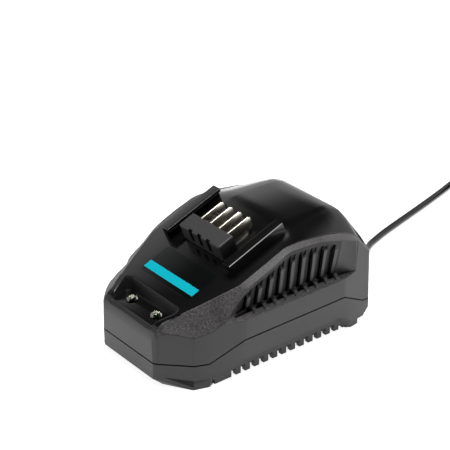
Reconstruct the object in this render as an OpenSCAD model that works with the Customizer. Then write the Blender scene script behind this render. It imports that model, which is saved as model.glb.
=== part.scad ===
// Battery charger for a slide-on power tool pack: two moulded shells, a sloping dock with rails and
// contact blades, two indicator lenses, a switch-mode supply inside, and a mains cord with its plug.
// Distances along the length are measured back from the front face, and the origin is under the middle.

/* [Body] */
// Width across the sides
body_w = 85.2; // [84:0.2:92]
// Length from the front face to the back face
body_l = 127; // [125:1:136]
// Height of the hump at the back of the dock
body_h = 63; // [61:1:70]
// Wall thickness of both shells
wall = 2.4; // [2:0.1:2.8]
// Height of the joint between the shells at the front and back
parting_end_z = 13; // [12.5:0.25:14]
// Height of the joint between the shells along the sides
parting_side_z = 21.4; // [20:0.2:23]
// Underside of the base above the table
base_z = 1.5; // [1:0.25:2]
// Top of the base plate
floor_z = 4; // [3.5:0.25:4.5]

/* [Vents] */
// Number of upright ribs in each side recess
rib_count = 9; // [7:1:9]
// Spacing of the ribs
rib_pitch = 6.9; // [6.4:0.1:7.2]
// Thickness of a rib
rib_t = 2.2; // [1.8:0.1:2.4]
// Width of the opening beside each rib
vent_w = 1.8; // [1.4:0.1:2.2]
// Number of slots in each skirt
slot_count = 13; // [9:1:13]
// Spacing of the skirt slots
slot_pitch = 5.92; // [5.5:0.02:5.98]
// Width of a skirt slot
slot_w = 2.8; // [2:0.1:3]
// Height of a skirt slot
slot_h = 4.6; // [3:0.1:5]

/* [Dock] */
// Clear width between the two rails
dock_w = 49; // [46:0.5:50]
// Thickness of a rail's upright
rail_t = 3; // [2.6:0.1:3.2]
// Height of a rail above the deck
rail_h = 6.4; // [6:0.1:7]
// How far a rail's lip reaches inwards
lip_w = 2.5; // [2:0.1:3]
// Thickness of a rail's lip
lip_t = 2.2; // [1.8:0.1:2.4]
// Width of the contact block
block_w = 32; // [30:0.5:34]
// Height of the contact block
block_h = 10; // [9.5:0.1:11]

/* [Indicators] */
// Radius of an indicator lens
lens_r = 3.1; // [2.6:0.1:3.4]
// Distance of each lens from the middle
lens_x = 10; // [9:0.5:11]

/* [Electronics] */
// Width of the main board
board_w = 66; // [64:0.5:67]
// Length of the main board
board_l = 80; // [78:0.5:82]
// Thickness of both boards
board_t = 1.6; // [1.2:0.1:1.8]

/* [Mains cord] */
// Thickness of the cord
cord_d = 4; // [4:0.1:4.4]
// Distance from the middle of the coil to the middle of its bundle
coil_r = 24; // [23:0.5:26]
// Width of the coil's bundle
bundle_w = 12; // [11:0.5:13]
// Height of the coil's bundle
bundle_h = 12; // [10:0.5:13]
// Radius of a plug pin
pin_r = 2; // [1.9:0.05:2.1]
// Free length of a plug pin
pin_l = 19; // [18:0.5:20]

/* [Hidden] */
$fn = 48;
eps = 0.01;

// The tables hold the form at its own size, and fx, fy and fz bring it to the width, length and height.
// Half width of the plan against the distance from the front.
plan = [[0, 20.6], [1.3, 22.8], [14, 35.5], [21, 38.5], [40, 42.6], [105.5, 42.6], [125, 39.8], [127, 37.5]];
table_w = 2 * max([for (p = plan) p[1]]);
table_l = plan[len(plan) - 1][0];
// Height of the joint between the shells: low at the ends, high along the sides.
ramp_front_y = 21;
ramp_side_y0 = 40;
ramp_side_y1 = 105.5;
ramp_back_y = 121;
parting = [[0, parting_end_z], [ramp_front_y, parting_end_z], [ramp_side_y0, parting_side_z],
    [ramp_side_y1, parting_side_z], [ramp_back_y, parting_end_z], [table_l, parting_end_z]];
// The deck rises from the front in a straight line.
deck_z0 = 31.8;
deck_slope = 0.385;
// The front edge of the deck is an arc from the front face to the deck.
nose_r = 10;
nose_end_y = 6.4;
nose_z = deck_z0 + deck_slope * nose_r - nose_r * sqrt(1 + pow(deck_slope, 2));
function nose(y) = nose_z + sqrt(pow(nose_r, 2) - pow(nose_r - y, 2));
// Top of the upright side walls, before the side recess is taken out.
shoulder = [[0, 24], [0.8, 26.5], [1.5, 28.5], [3, 29.6], [6.4, 30.3], [10, 29.7], [14, 28.8], [18.5, 29.7],
    [24, 31.1], [30, 33.5], [33, 36.5], [37, 40.5], [40, 43], [44, 46.5], [58, 52], [69.5, 56.5], [78, 57],
    [86, 56.5], [98, 54.7], [104, 53.7], [110, 52.2], [114, 50.4], [117.5, 48], [121, 44], [125, 40],
    [127, 37.6]];
function deck(y) = deck_z0 + deck_slope * y;
// Edge of the deck, and the rim that falls away behind the dock.
rim_z = [[nose_end_y, deck(nose_end_y)], [69.5, deck(69.5)], [73, 59.1], [78, 59.2], [86, 58.6], [92, 57.9],
    [98, 57], [104, 55.8], [110, 54], [114, 52.2], [117.5, 50.1], [121, 46.5], [125, 42.3], [127, 40.2]];
rim_x = [[0, 19], [0.8, 20], [nose_end_y, 20.2], [42, 35.5], [127, 35.5]];
// Crown of the hump, where the battery rests, and the turn between the rim and the crown.
crown_z = [[nose_end_y, deck(nose_end_y)], [78, deck(78)], [82, 62.7], [86, 63], [104, 63], [110, 62.8],
    [114, 62], [117.5, 60.4], [121, 56.5], [125, 51.2], [127, 48.5]];
crown_x = [[0, 18], [nose_end_y, 18], [42, 20], [127, 20]];
turn_x = [[0, 18.4], [nose_end_y, 18.8], [42, 28], [127, 28]];
turn_drop = 0.34;
table_h = max([for (p = crown_z) p[1]]);
draft = 0.035;
function fx(v) = v * body_w / table_w;
function fy(v) = v * body_l / table_l;
function fz(v) = v * body_h / table_h;

// Side recess: the ledge's outer edge, the foot of the recess wall, and the edge between wall and rim.
recess_y0 = 29.5;
recess_y1 = 114;
ledge_edge_z = [[recess_y0, 33.3], [34, 32.8], [40, 32.4], [46, 31.9], [98, 31.8], [106, 32.3], [111, 32.6],
    [recess_y1, 33.2]];
recess_foot_x = [[recess_y0, 40.2], [33, 40.8], [35, 39.4], [37, 37.6], [40, 36.7], [46, 36.5], [104, 36.5],
    [109, 38], [recess_y1, 40.7]];
recess_foot_z = [[recess_y0, 33.4], [33, 36.6], [35, 35.6], [37, 34.4], [40, 34.3], [46, 34.8], [98, 34.6],
    [104, 34.3], [109, 33.9], [recess_y1, 33.5]];
recess_edge_x = [[recess_y0, 40.3], [33, 40.9], [35, 40.8], [37, 40.3], [40, 39.6], [44, 39.6], [50, 39.5],
    [58, 39.4], [62, 39.3], [66, 39], [69.5, 38.8], [73, 38.9], [78, 39.1], [86, 39.1], [92, 39.4], [98, 40],
    [104, 40.7], [110, 40.8], [recess_y1, 40.3]];
recess_edge_z = [[recess_y0, 33.6], [33, 36.8], [35, 39], [37, 41.4], [40, 44.5], [44, 47.2], [50, 49.8],
    [58, 52.9], [62, 54.5], [66, 56], [69.5, 57.4], [73, 57.9], [78, 57.9], [86, 57.4], [92, 56.6],
    [98, 55.4], [104, 54], [110, 52.1], [recess_y1, 50.4]];

// Places of the cross-sections.
station_y = [0, 0.8, 1.5, 3, 4.5, nose_end_y, 10, 14, 18.5, 21, 24, recess_y0, 33, 35, 37, 40, 42, 44, 46, 50,
    58, 62, 66, 69.5, 73, 78, 82, 86, 92, 98, 104, 105.5, 109, 110, 111, recess_y1, 117.5, 121, 125, table_l];

function half_w(y) = lookup(y, plan);
function parting_z(y) = lookup(y, parting);
function top_z(y, table) = y < nose_end_y ? nose(y) : lookup(y, table);
function wall_top(y) = min(lookup(y, shoulder), top_z(y, rim_z) - 0.4);
function wall_x(y, z) = half_w(y) - draft * (z - parting_z(y));
function rim_point(y) = [min(lookup(y, rim_x), half_w(y) - 0.6), top_z(y, rim_z)];
function crown_point(y) = [lookup(y, crown_x), top_z(y, crown_z)];
function turn_point(y) = let (r = rim_point(y), c = crown_point(y))
    [lookup(y, turn_x), c[1] - turn_drop * (c[1] - r[1])];
// A gutter runs along the recess foot, behind the ledge; it fades out at both ends.
gutter_depth = 2.6;
gutter_y0 = 35;
gutter_y1 = 113;
function gutter(y) = max(0, min(1, (y - gutter_y0) / 3, (gutter_y1 - y) / 4));
function between(a, b, f) = a + f * (b - a);
// The ledge's edge, the gutter, the recess foot and the recess edge, or points on the rim's slope where
// there is no recess.
function side_edges(y) = y < recess_y0 || y > recess_y1
    ? let (z = wall_top(y), a = [wall_x(y, z), z], b = rim_point(y))
        [for (f = [0, 0.01, 0.02, 0.03, 0.04, 0.06]) between(a, b, f)]
    : let (z = lookup(y, ledge_edge_z),
        w = [wall_x(y, z), z],
        foot = [lookup(y, recess_foot_x), lookup(y, recess_foot_z)],
        v = between(w, foot, 0.62),
        g = gutter(y),
        low = foot[1] - gutter_depth)
        [w, v, between(between(v, foot, 1 / 3), [v[0] - 0.25, low], g),
            between(between(v, foot, 2 / 3), [foot[0] + 0.1, low], g), foot,
            [lookup(y, recess_edge_x), lookup(y, recess_edge_z)]];
// One side of the outer cross-section, from the joint up to the crown.
function outer_points(y) = concat([[half_w(y), parting_z(y)]], side_edges(y),
    [rim_point(y), turn_point(y), crown_point(y)]);
// One side of the cavity's cross-section.
function inner_points(y) = let (
    t = wall,
    z = wall_top(y),
    r = rim_point(y),
    c = crown_point(y))
    [[half_w(y) - t, parting_z(y) - 2], [wall_x(y, z) - t, z - 0.8 * t], [r[0] - 0.8 * t, r[1] - t],
        [c[0] - 0.6 * t, c[1] - t]];
function mirrored(half) = concat(half, [for (i = [len(half) - 1:-1:0]) [-half[i][0], half[i][1]]]);
function shrunk_y(y, t) = t + y * (table_l - 2 * t) / table_l;

// Cross-sections joined along the length: the upper shell's outer form, and its cavity.
module upper_outside() {
    loft([for (y = station_y) mirrored(outer_points(y))], 0);
}

module upper_inside() {
    loft([for (y = station_y) mirrored(inner_points(y))], wall);
}

module loft(sections, t) {
    n = len(sections);
    m = len(sections[0]);
    points = [for (k = [0:n - 1]) for (p = sections[k]) [fx(p[0]), fy(shrunk_y(station_y[k], t)), fz(p[1])]];
    sides = [for (k = [0:n - 2]) for (i = [0:m - 1]) for (half = [0, 1])
        let (a = m * k + i, b = m * k + (i + 1) % m)
        half == 0 ? [a, b, b + m] : [a, b + m, a + m]];
    front = [[for (i = [m - 1:-1:0]) i]];
    back = [[for (i = [0:m - 1]) m * (n - 1) + i]];
    polyhedron(points = points, faces = concat(sides, front, back), convexity = 8);
}

function plan_points(t, y1) = let (
    ys = [for (p = plan) if (p[0] < y1) p[0]],
    right = concat([for (y = ys) [fx(half_w(y) - t), fy(max(y, t))]], [[fx(half_w(y1) - t), fy(y1)]]),
    n = len(right))
    concat(right, [for (i = [n - 1:-1:0]) [-right[i][0], right[i][1]]]);

// A slab of the plan from height z0 to z1, moved in by t and cut off at y1.
module slab(t, z0, z1, y1 = table_l) {
    translate([0, 0, z0]) linear_extrude(z1 - z0) polygon(plan_points(t, y1));
}

// Everything under the joint between the shells.
module below_joint() {
    side = [for (p = parting) [fy(p[0]), fz(p[1])]];
    outline = concat([[-5, -5], [-5, fz(parting_end_z)]], side,
        [[body_l + 5, fz(parting_end_z)], [body_l + 5, -5]]);
    rotate([90, 0, 90]) translate([0, 0, -body_w]) linear_extrude(2 * body_w) polygon(outline);
}

module both_sides() {
    children();
    mirror([1, 0, 0]) children();
}

module from_middle() {
    translate([0, -body_l / 2, 0]) children();
}

module on_board(at) {
    from_middle() translate([at[0], at[1], board_top]) children();
}

// The dock's own frame: x across, y up the slope of the deck, z square to the deck.
deck_a = atan(fz(deck_slope) / fy(1));
module on_deck() {
    translate([0, 0, fz(deck_z0)]) rotate([deck_a, 0, 0]) children();
}
function up_deck(y) = fy(y) / cos(deck_a);

// Base, skirts and feet.
chamfer_end_z = 4;
back_chamfer_z = 7.6;
back_chamfer_y = 118;
skirt_x = 38.7;
skirt_z = 0.6;
arch_side_z = 10.6;
arch_skirt_z = 7.6;
arch_floor_y0 = 23;
arch_floor_y1 = 110;
arch_flare = 14;
foot_inset = 1.3;
foot_x = 23;
inner_x = skirt_x - wall;
shelf_z = arch_side_z + 2.2;
shell_seat_z = parting_end_z;
first_slot_y = 35.8;

// The screws that hold the shells together.
boss_r = 4.2;
screw_r = 1.5;
screw_head_r = 2.8;
screw_head_h = 2;
screw_seat_z = 7;
screw_l = 14;
base_screw_at = [[29, 19], [29, 110]];
small_screw_r = 1.2;
small_head_r = 2.3;
small_head_h = 1.6;

// Main board, on four posts.
board_y0 = fy(25);
board_y1 = board_y0 + fy(board_l);
board_z = 9;
board_top = board_z + board_t;
post_r = 3;
board_screw_x = 28;
board_screw_inset = 5;
board_screw_l = 5.4;
board_screw_at = [[board_screw_x, board_y0 + board_screw_inset],
    [board_screw_x, board_y1 - board_screw_inset]];

// Parts on the main board: the place of each on the board, then its sizes.
bulk_at = [9, fy(92)];
bulk_r = 9;
bulk_h = fz(30);
output_cap_x = [8, 20];
output_cap_y = fy(37);
output_cap_r = 5;
output_cap_h = 20;
core_at = [2, fy(63)];
core_w = 32;
core_l = 22;
core_h = fz(26);
core_bar = 6;
core_gap = 1;
core_lift = 1;
winding_out = 4;
bobbin_foot = 3;
bobbin_foot_x = 4;
choke_at = [-22, fy(76)];
choke_w = 16;
choke_l = 14;
choke_base_h = 3;
choke_r = 5;
choke_wire_r = 3;
x_cap_at = [-20, fy(92)];
x_cap_w = 18;
x_cap_l = 8;
x_cap_h = 13;
fuse_at = [-5.5, fy(92)];
fuse_r = 4;
fuse_h = 8;
bridge_at = [-28, fy(57)];
bridge_t = 4;
bridge_l = 14;
bridge_h = 11;
sink_at = [26, fy(75)];
sink_t = 2;
sink_l = 26;
sink_h = fz(22);
output_sink_at = [-8, fy(36)];
output_sink_l = 20;
output_sink_h = fz(18);
package_t = 4.5;
package_w = 8;
package_h = 16;
// Leads from the board to the contact block, and to the indicator board.
output_lead_at = [24, fy(45)];
output_lead_r = 1.1;
led_lead_x = [-5, -2];
led_lead_r = 0.6;
mains_lead_x = 3.6;
mains_lead_r = 0.8;
// Clamp on the cord inside the base.
clamp_screw_x = 12;

// Bays and ribs in the side recess; each bay leans inwards to the slot beside the next rib.
recess_x = 36.5;
ledge_z = 34.7;
first_rib_y = 46;
rib_drop = [[46, 4.6], [73, 4], [87, 3.4], [94, 2.6], [101, 2.4]];
rib_cap_h = 2.6;
notch_depth = 1.8;
notch_rise = 1.1;
notch_over = 0.3;
first_bay_y = 38;
bay_x = 35.6;
bay_below_edge = 2.4;
stub_shift = 1.6;
stub_x0 = 38.4;
stub_x1 = 40.6;
stub_z = 34;
web_z = 33.2;
vent_depth = 4.8;
cut_reach = 8;

// Indicator recess.
tray_z = 31.2;
tray_floor_t = 2.4;
tray_box_x = 22;
tray_box_y = 19;
lens_y = 10.4;
lens_low_z = 25.6;
led_r = 2.5;
led_board_z = 18.4;
led_board_w = 38;
led_board_l = 12;
led_post_x = 16;
led_post_r = 2.6;
led_screw_l = 6;

// Dock rails and contact block, along the slope.
rail_s0 = up_deck(44);
rail_s1 = up_deck(78);
rail_root = 0.5;
block_s0 = up_deck(48);
block_l = 10;
neck_w = 24;
neck_l = 7;
neck_depth = 6;
blade_t = 0.8;
blade_h = 6.5;
blade_n = 2.2;
blade_l = 15;
power_x = 10.5;
sense_x = 3.5;

// Cord exit, on the joint between the shells.
exit_z = parting_end_z;
gland_r = 4.4;
gland_flange_r = 5.6;
gland_flange_t = 2.5;
relief_l = 25;
relief_collar_l = 2;

// Points along the cord, from the strain relief to the coil and from the coil to the plug.
cord_r = cord_d / 2;
cord_route = [[0, 152, 13], [0, 154, 13], [-0.6, 157.5, 12], [-2.4, 161, 9.5], [-5.4, 165, 6],
    [-9, 169.5, 3.4], [-13, 174.5, 2.2], [-16.4, 180, 2], [-19, 187, 2], [-22.4, 198, 2], [-26, 212, 2],
    [-30, 228, 2], [-34.6, 246, 2], [-39, 262, 2], [-42.6, 274, 2], [-44.8, 283.4, 2]];
coil_at = [-20.6, 304.6];
tail_route = [[-1, 330, 6], [3, 330, 6.2], [7, 330, 6.6], [11, 330, 7], [13, 330, 7]];
plug_at = [13, 330];
plug_body_l = 37;
plug_w = 34;
plug_t = 14;
pin_gap = 19;

// A tube along a route: each ring of points stands square to the route, and is turned by the vector up,
// which the route never runs along.
function unit(v) = v / norm(v);
function along(route, i) = unit(route[min(i + 1, len(route) - 1)] - route[max(i - 1, 0)]);
function ring(route, i, r, sides, up) = let (
    d = along(route, i),
    u = unit(cross(d, up)),
    v = cross(u, d))
    [for (k = [0:sides - 1]) route[i] + r * (cos(360 * k / sides) * u + sin(360 * k / sides) * v)];
module tube(route, r, sides, up) {
    n = len(route);
    points = [for (i = [0:n - 1]) for (p = ring(route, i, r, sides, up)) p];
    walls = [for (i = [0:n - 2]) for (k = [0:sides - 1])
        [sides * i + k, sides * i + (k + 1) % sides, sides * (i + 1) + (k + 1) % sides, sides * (i + 1) + k]];
    start = [[for (k = [sides - 1:-1:0]) k]];
    end = [[for (k = [0:sides - 1]) sides * (n - 1) + k]];
    polyhedron(points = points, faces = concat(walls, start, end), convexity = 4);
}

function rib_y(i) = first_rib_y + rib_pitch * i;
function rib_top(i) = lookup(rib_y(i), recess_edge_z) - lookup(rib_y(i), rib_drop);
// Face of the recess wall at a height.
function recess_face(y, z) = let (z0 = lookup(y, recess_foot_z), z1 = lookup(y, recess_edge_z),
    x0 = lookup(y, recess_foot_x), x1 = lookup(y, recess_edge_x)) x0 + (x1 - x0) * (z - z0) / (z1 - z0);

// A stub stands on the ledge below each rib.
module stubs() {
    for (i = [0:rib_count - 1]) {
        stub = [[recess_x - 1.6, ledge_z - 4.2], [stub_x1, ledge_z - 4.2], [stub_x1, stub_z],
            [stub_x0, stub_z], [stub_x0, web_z], [recess_x - 1.6, web_z]];
        translate([0, fy(rib_y(i) + stub_shift) + rib_t / 2, 0]) rotate([90, 0, 0])
            linear_extrude(rib_t) polygon([for (p = stub) [fx(p[0]), fz(p[1])]]);
    }
}

module bays() {
    bar = 0.01;
    for (i = [0:rib_count - 1]) {
        y0 = i == 0 ? first_bay_y : rib_y(i - 1) + rib_t / 2;
        y1 = rib_y(i) - rib_t / 2;
        z0 = lookup(y0, recess_edge_z) - bay_below_edge;
        z1 = lookup(y1, recess_edge_z) - bay_below_edge;
        hull() for (p = [[recess_face(y0, ledge_z), y0, ledge_z], [recess_face(y0, z0), y0, z0],
                [bay_x, y1, ledge_z], [bay_x, y1, z1]])
            translate([fx(p[0]), fy(p[1]), fz(p[2])]) cube([cut_reach, bar, bar]);
    }
}

// The sloping cap at the top of each rib, sunk into the wall.
module notches() {
    for (i = [0:rib_count - 1]) {
        top = rib_top(i);
        face = recess_face(rib_y(i), top - rib_cap_h);
        outline = [[face, top - rib_cap_h], [face - notch_depth, top - rib_cap_h + notch_rise],
            [face - notch_depth, top + notch_over], [face + cut_reach, top + notch_over],
            [face + cut_reach, top - rib_cap_h]];
        translate([0, fy(rib_y(i)) + rib_t / 2, 0]) rotate([90, 0, 0])
            linear_extrude(rib_t) polygon([for (p = outline) [fx(p[0]), fz(p[1])]]);
    }
}

module rib_openings() {
    for (i = [0:rib_count - 1]) {
        low = fz(ledge_z + 1);
        translate([fx(recess_x) - vent_depth, fy(rib_y(i)) - rib_t / 2 - vent_w, low])
            cube([2 * vent_depth, vent_w, fz(rib_top(i)) - low - 1]);
    }
}

module tray_cut() {
    outline = [[16.2, -2], [16.4, 3.6], [18.6, 12.6], [18, 14.4], [16, 15.6]];
    right = [for (p = outline) [fx(p[0]), fy(p[1])]];
    left = [for (i = [len(right) - 1:-1:0]) [-right[i][0], right[i][1]]];
    translate([0, 0, fz(tray_z)]) linear_extrude(body_h) polygon(concat(right, left));
}

// Hole through the back wall for the strain relief, with room for its flange inside.
module gland_hole() {
    translate([0, body_l + 5, fz(exit_z)]) rotate([90, 0, 0]) cylinder(r = gland_r, h = wall + 6);
    translate([0, body_l - wall, fz(exit_z)]) rotate([90, 0, 0])
        cylinder(r = gland_flange_r + 0.1, h = gland_flange_t + 0.5);
}

module upper_cavity() {
    low_zone_z = fz(ledge_z) - 4.4;
    high_zone_x = fx(recess_x) - wall;
    difference() {
        intersection() {
            upper_inside();
            union() {
                translate([-body_w, -1, -1]) cube([2 * body_w, body_l + 2, low_zone_z + 1]);
                translate([-high_zone_x, -1, -1]) cube([2 * high_zone_x, body_l + 2, 2 * body_h]);
            }
        }
        translate([-fx(tray_box_x), -1, fz(tray_z) - tray_floor_t])
            cube([2 * fx(tray_box_x), fy(tray_box_y), body_h]);
        for (p = base_screw_at) both_sides() translate([fx(p[0]), fy(p[1]), fz(shell_seat_z)])
            cylinder(r = boss_r, h = body_h);
        both_sides() translate([led_post_x, fy(lens_y), led_board_z + board_t])
            cylinder(r = led_post_r, h = body_h);
    }
}

module upper_shell() {
    color([0.13, 0.13, 0.135]) from_middle() {
        difference() {
            union() {
                difference() {
                    upper_outside();
                    upper_cavity();
                }
                both_sides() stubs();
            }
            both_sides() bays();
            both_sides() notches();
            both_sides() rib_openings();
            tray_cut();
            both_sides() translate([lens_x, fy(lens_y), 0]) cylinder(r = lens_r + 0.1, h = body_h);
            for (p = base_screw_at) both_sides() translate([fx(p[0]), fy(p[1]), 0])
                cylinder(r = screw_r + 0.05, h = screw_seat_z + screw_l + 2);
            both_sides() translate([led_post_x, fy(lens_y), 0])
                cylinder(r = small_screw_r + 0.05, h = led_board_z + led_screw_l + 2);
            on_deck() translate([-neck_w / 2, block_s0 + 1.5, -20]) cube([neck_w, neck_l, 30]);
            gland_hole();
        }
        rails();
    }
}

module rails() {
    outer_x = dock_w / 2 + rail_t;
    profile = [[outer_x, -rail_root], [outer_x, rail_h], [dock_w / 2 - lip_w, rail_h],
        [dock_w / 2 - lip_w, rail_h - lip_t], [dock_w / 2, rail_h - lip_t], [dock_w / 2, -rail_root]];
    both_sides() on_deck() translate([0, rail_s1, 0]) rotate([90, 0, 0])
        linear_extrude(rail_s1 - rail_s0) polygon(profile);
}

module arch_cut() {
    inner = fx(skirt_x);
    reach = 8;
    gain = (arch_side_z - arch_skirt_z) / (table_w / 2 - skirt_x) * reach;
    near = [[arch_floor_y0, -2], [arch_floor_y0, 0], [ramp_side_y0 + 2, arch_skirt_z],
        [ramp_side_y1 - 2, arch_skirt_z], [arch_floor_y1, 0], [arch_floor_y1, -2]];
    far = [[arch_floor_y0 - arch_flare, -2], [arch_floor_y0 - arch_flare, 0],
        [ramp_side_y0 - 2, arch_skirt_z + gain], [ramp_side_y1 + 2, arch_skirt_z + gain],
        [arch_floor_y1 + arch_flare, 0], [arch_floor_y1 + arch_flare, -2]];
    hull() {
        translate([inner, 0, 0]) rotate([90, 0, 90]) linear_extrude(eps)
            polygon([for (p = near) [fy(p[0]), p[1]]]);
        translate([inner + reach, 0, 0]) rotate([90, 0, 90]) linear_extrude(eps)
            polygon([for (p = far) [fy(p[0]), p[1]]]);
    }
}

module feet() {
    intersection() {
        slab(foot_inset, 0, floor_z);
        union() {
            translate([fx(foot_x), fy(2), -1]) cube([body_w, fy(arch_floor_y0 - 2), 10]);
            translate([fx(foot_x + 4), fy(arch_floor_y1), -1]) cube([body_w, fy(8), 10]);
        }
    }
}

module skirt() {
    translate([fx(inner_x), fy(arch_floor_y0) - eps, skirt_z])
        cube([fx(skirt_x) - fx(inner_x), fy(arch_floor_y1 - arch_floor_y0) + 2 * eps, floor_z]);
}

module lower_cavity() {
    top = fz(parting_side_z) + 1;
    step_z = fz(shelf_z);
    slab(wall, step_z, top, table_l - wall);
    intersection() {
        slab(wall, floor_z, step_z + eps, table_l - wall);
        union() {
            translate([-fx(inner_x), 0, 0]) cube([2 * fx(inner_x), fy(back_chamfer_y - 1), top]);
            translate([-fx(inner_x), 0, back_chamfer_z + 1]) cube([2 * fx(inner_x), body_l, top]);
        }
    }
}

module lower_shell() {
    color([0.12, 0.12, 0.125]) from_middle() {
        difference() {
            union() {
                intersection() {
                    union() {
                        hull() {
                            slab(3, base_z, base_z + eps, back_chamfer_y);
                            slab(0, chamfer_end_z, chamfer_end_z + eps, back_chamfer_y + 3);
                            slab(0, back_chamfer_z, back_chamfer_z + eps);
                        }
                        slab(0, back_chamfer_z, fz(parting_side_z) + eps);
                    }
                    below_joint();
                }
                both_sides() feet();
                both_sides() skirt();
            }
            difference() {
                lower_cavity();
                for (p = base_screw_at) both_sides() translate([fx(p[0]), fy(p[1]), 0])
                    cylinder(r = boss_r, h = fz(shell_seat_z));
                for (p = board_screw_at) both_sides() translate([p[0], p[1], 0])
                    cylinder(r = post_r, h = board_z);
                both_sides() translate([clamp_screw_x, clamp_y, 0])
                    cylinder(r = post_r, h = fz(exit_z) - cord_r);
            }
            both_sides() arch_cut();
            both_sides() for (i = [0:slot_count - 1]) {
                h = i == slot_count - 1 ? slot_h - 2 : slot_h;
                translate([fx(inner_x) - 1, fy(first_slot_y + slot_pitch * i) - slot_w / 2, -1])
                    cube([2 * wall + 1, slot_w, h + 1]);
            }
            for (p = base_screw_at) both_sides() translate([fx(p[0]), fy(p[1]), 0]) {
                translate([0, 0, -1]) cylinder(r = screw_head_r + 0.3, h = screw_seat_z + 1);
                cylinder(r = screw_r + 0.1, h = fz(shell_seat_z) + 1);
            }
            for (p = board_screw_at) both_sides() translate([p[0], p[1], floor_z + 0.6])
                cylinder(r = small_screw_r + 0.05, h = 10);
            both_sides() translate([clamp_screw_x, clamp_y, floor_z + 0.6])
                cylinder(r = small_screw_r + 0.05, h = 10);
            gland_hole();
        }
    }
}

module deck_label() {
    color([0.03, 0.03, 0.035]) from_middle() on_deck()
        translate([-19.5, up_deck(22), 0]) cube([39, up_deck(40) - up_deck(22), 0.3]);
}

module rating_label() {
    color([0.75, 0.75, 0.76]) from_middle() translate([-25, fy(45), base_z - 0.2]) cube([50, 32, 0.2]);
}

module lens() {
    color([0.85, 0.88, 0.9]) from_middle() {
        translate([0, fy(lens_y), lens_low_z]) cylinder(r = lens_r, h = fz(tray_z) - lens_low_z + 0.6);
        translate([0, fy(lens_y), fz(tray_z) + 0.6]) intersection() {
            translate([0, 0, -2.4]) sphere(r = 4);
            cylinder(r = lens_r - 0.4, h = 3);
        }
    }
}

module power_lens() {
    translate([-lens_x, 0, 0]) lens();
}

module charge_lens() {
    translate([lens_x, 0, 0]) lens();
}

module led_board() {
    color([0.1, 0.35, 0.2]) from_middle() difference() {
        translate([-led_board_w / 2, fy(lens_y) - led_board_l / 2, led_board_z])
            cube([led_board_w, led_board_l, board_t]);
        both_sides() translate([led_post_x, fy(lens_y), 0]) cylinder(r = small_screw_r + 0.2, h = 40);
    }
}

module leds() {
    color([0.8, 0.85, 0.8]) from_middle() both_sides() translate([lens_x, fy(lens_y), led_board_z + board_t])
        cylinder(r = led_r, h = lens_low_z - led_board_z - board_t);
}

module led_screws() {
    color([0.7, 0.7, 0.72]) from_middle() both_sides() translate([led_post_x, fy(lens_y), led_board_z])
        screw(small_screw_r, led_screw_l, small_head_r, small_head_h);
}

// A screw that points up, with its head under z = 0.
module screw(r, l, head_r, head_h) {
    translate([0, 0, -head_h]) cylinder(r = head_r, h = head_h);
    translate([0, 0, -eps]) cylinder(r = r, h = l + eps);
}

module base_screws() {
    color([0.7, 0.7, 0.72]) from_middle() for (p = base_screw_at) both_sides()
        translate([fx(p[0]), fy(p[1]), screw_seat_z]) screw(screw_r, screw_l, screw_head_r, screw_head_h);
}

module board_screws() {
    color([0.7, 0.7, 0.72]) from_middle() for (p = board_screw_at) both_sides()
        translate([p[0], p[1], board_top]) mirror([0, 0, 1])
        screw(small_screw_r, board_screw_l, small_head_r, small_head_h);
}

module main_board() {
    color([0.1, 0.35, 0.2]) from_middle() difference() {
        translate([-board_w / 2, board_y0, board_z]) cube([board_w, board_y1 - board_y0, board_t]);
        for (p = board_screw_at) both_sides() translate([p[0], p[1], 0])
            cylinder(r = small_screw_r + 0.2, h = 2 * board_z);
    }
}

module bulk_capacitor() {
    color([0.08, 0.08, 0.12]) on_board(bulk_at) cylinder(r = bulk_r, h = bulk_h);
}

module output_capacitors() {
    color([0.1, 0.1, 0.25]) for (x = output_cap_x) on_board([x, output_cap_y])
        cylinder(r = output_cap_r, h = output_cap_h);
}

module transformer_core() {
    window = core_w / 2 - 1.5 * core_bar - core_gap;
    color([0.18, 0.18, 0.2]) on_board(core_at) translate([-core_w / 2, -core_l / 2, core_lift]) difference() {
        cube([core_w, core_l, core_h]);
        for (x = [core_bar, core_w - core_bar - window]) translate([x, -1, core_bar])
            cube([window, core_l + 2, core_h - 2 * core_bar]);
    }
}

// The bobbin's body wraps the core's middle limb and stands on the board.
module transformer_winding() {
    limb = core_bar + 2 * core_gap;
    window = core_w / 2 - 1.5 * core_bar - core_gap;
    color([0.8, 0.65, 0.2]) on_board(core_at) difference() {
        union() {
            translate([-limb / 2 - window + 0.2, -core_l / 2 - winding_out, core_lift + core_bar])
                cube([limb + 2 * window - 0.4, core_l + 2 * winding_out, core_h - 2 * core_bar]);
            both_sides() for (end = [-1, 1])
                translate([bobbin_foot_x, end * (core_l + winding_out) / 2 - bobbin_foot / 2, 0])
                cube([bobbin_foot, bobbin_foot, core_lift + core_bar + 1]);
        }
        translate([-limb / 2, -core_l / 2 - eps, core_bar]) cube([limb, core_l + 2 * eps, core_h]);
    }
}

module line_choke() {
    color([0.7, 0.4, 0.15]) on_board(choke_at) {
        translate([-choke_w / 2, -choke_l / 2, 0]) cube([choke_w, choke_l, choke_base_h]);
        translate([0, 0, choke_base_h + choke_r + choke_wire_r - 1]) rotate([90, 0, 0])
            rotate_extrude() translate([choke_r, 0]) circle(r = choke_wire_r, $fn = 24);
    }
}

module x_capacitor() {
    color([0.85, 0.75, 0.2]) on_board(x_cap_at) translate([-x_cap_w / 2, -x_cap_l / 2, 0])
        cube([x_cap_w, x_cap_l, x_cap_h]);
}

module mains_fuse() {
    color([0.15, 0.15, 0.15]) on_board(fuse_at) cylinder(r = fuse_r, h = fuse_h);
}

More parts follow.
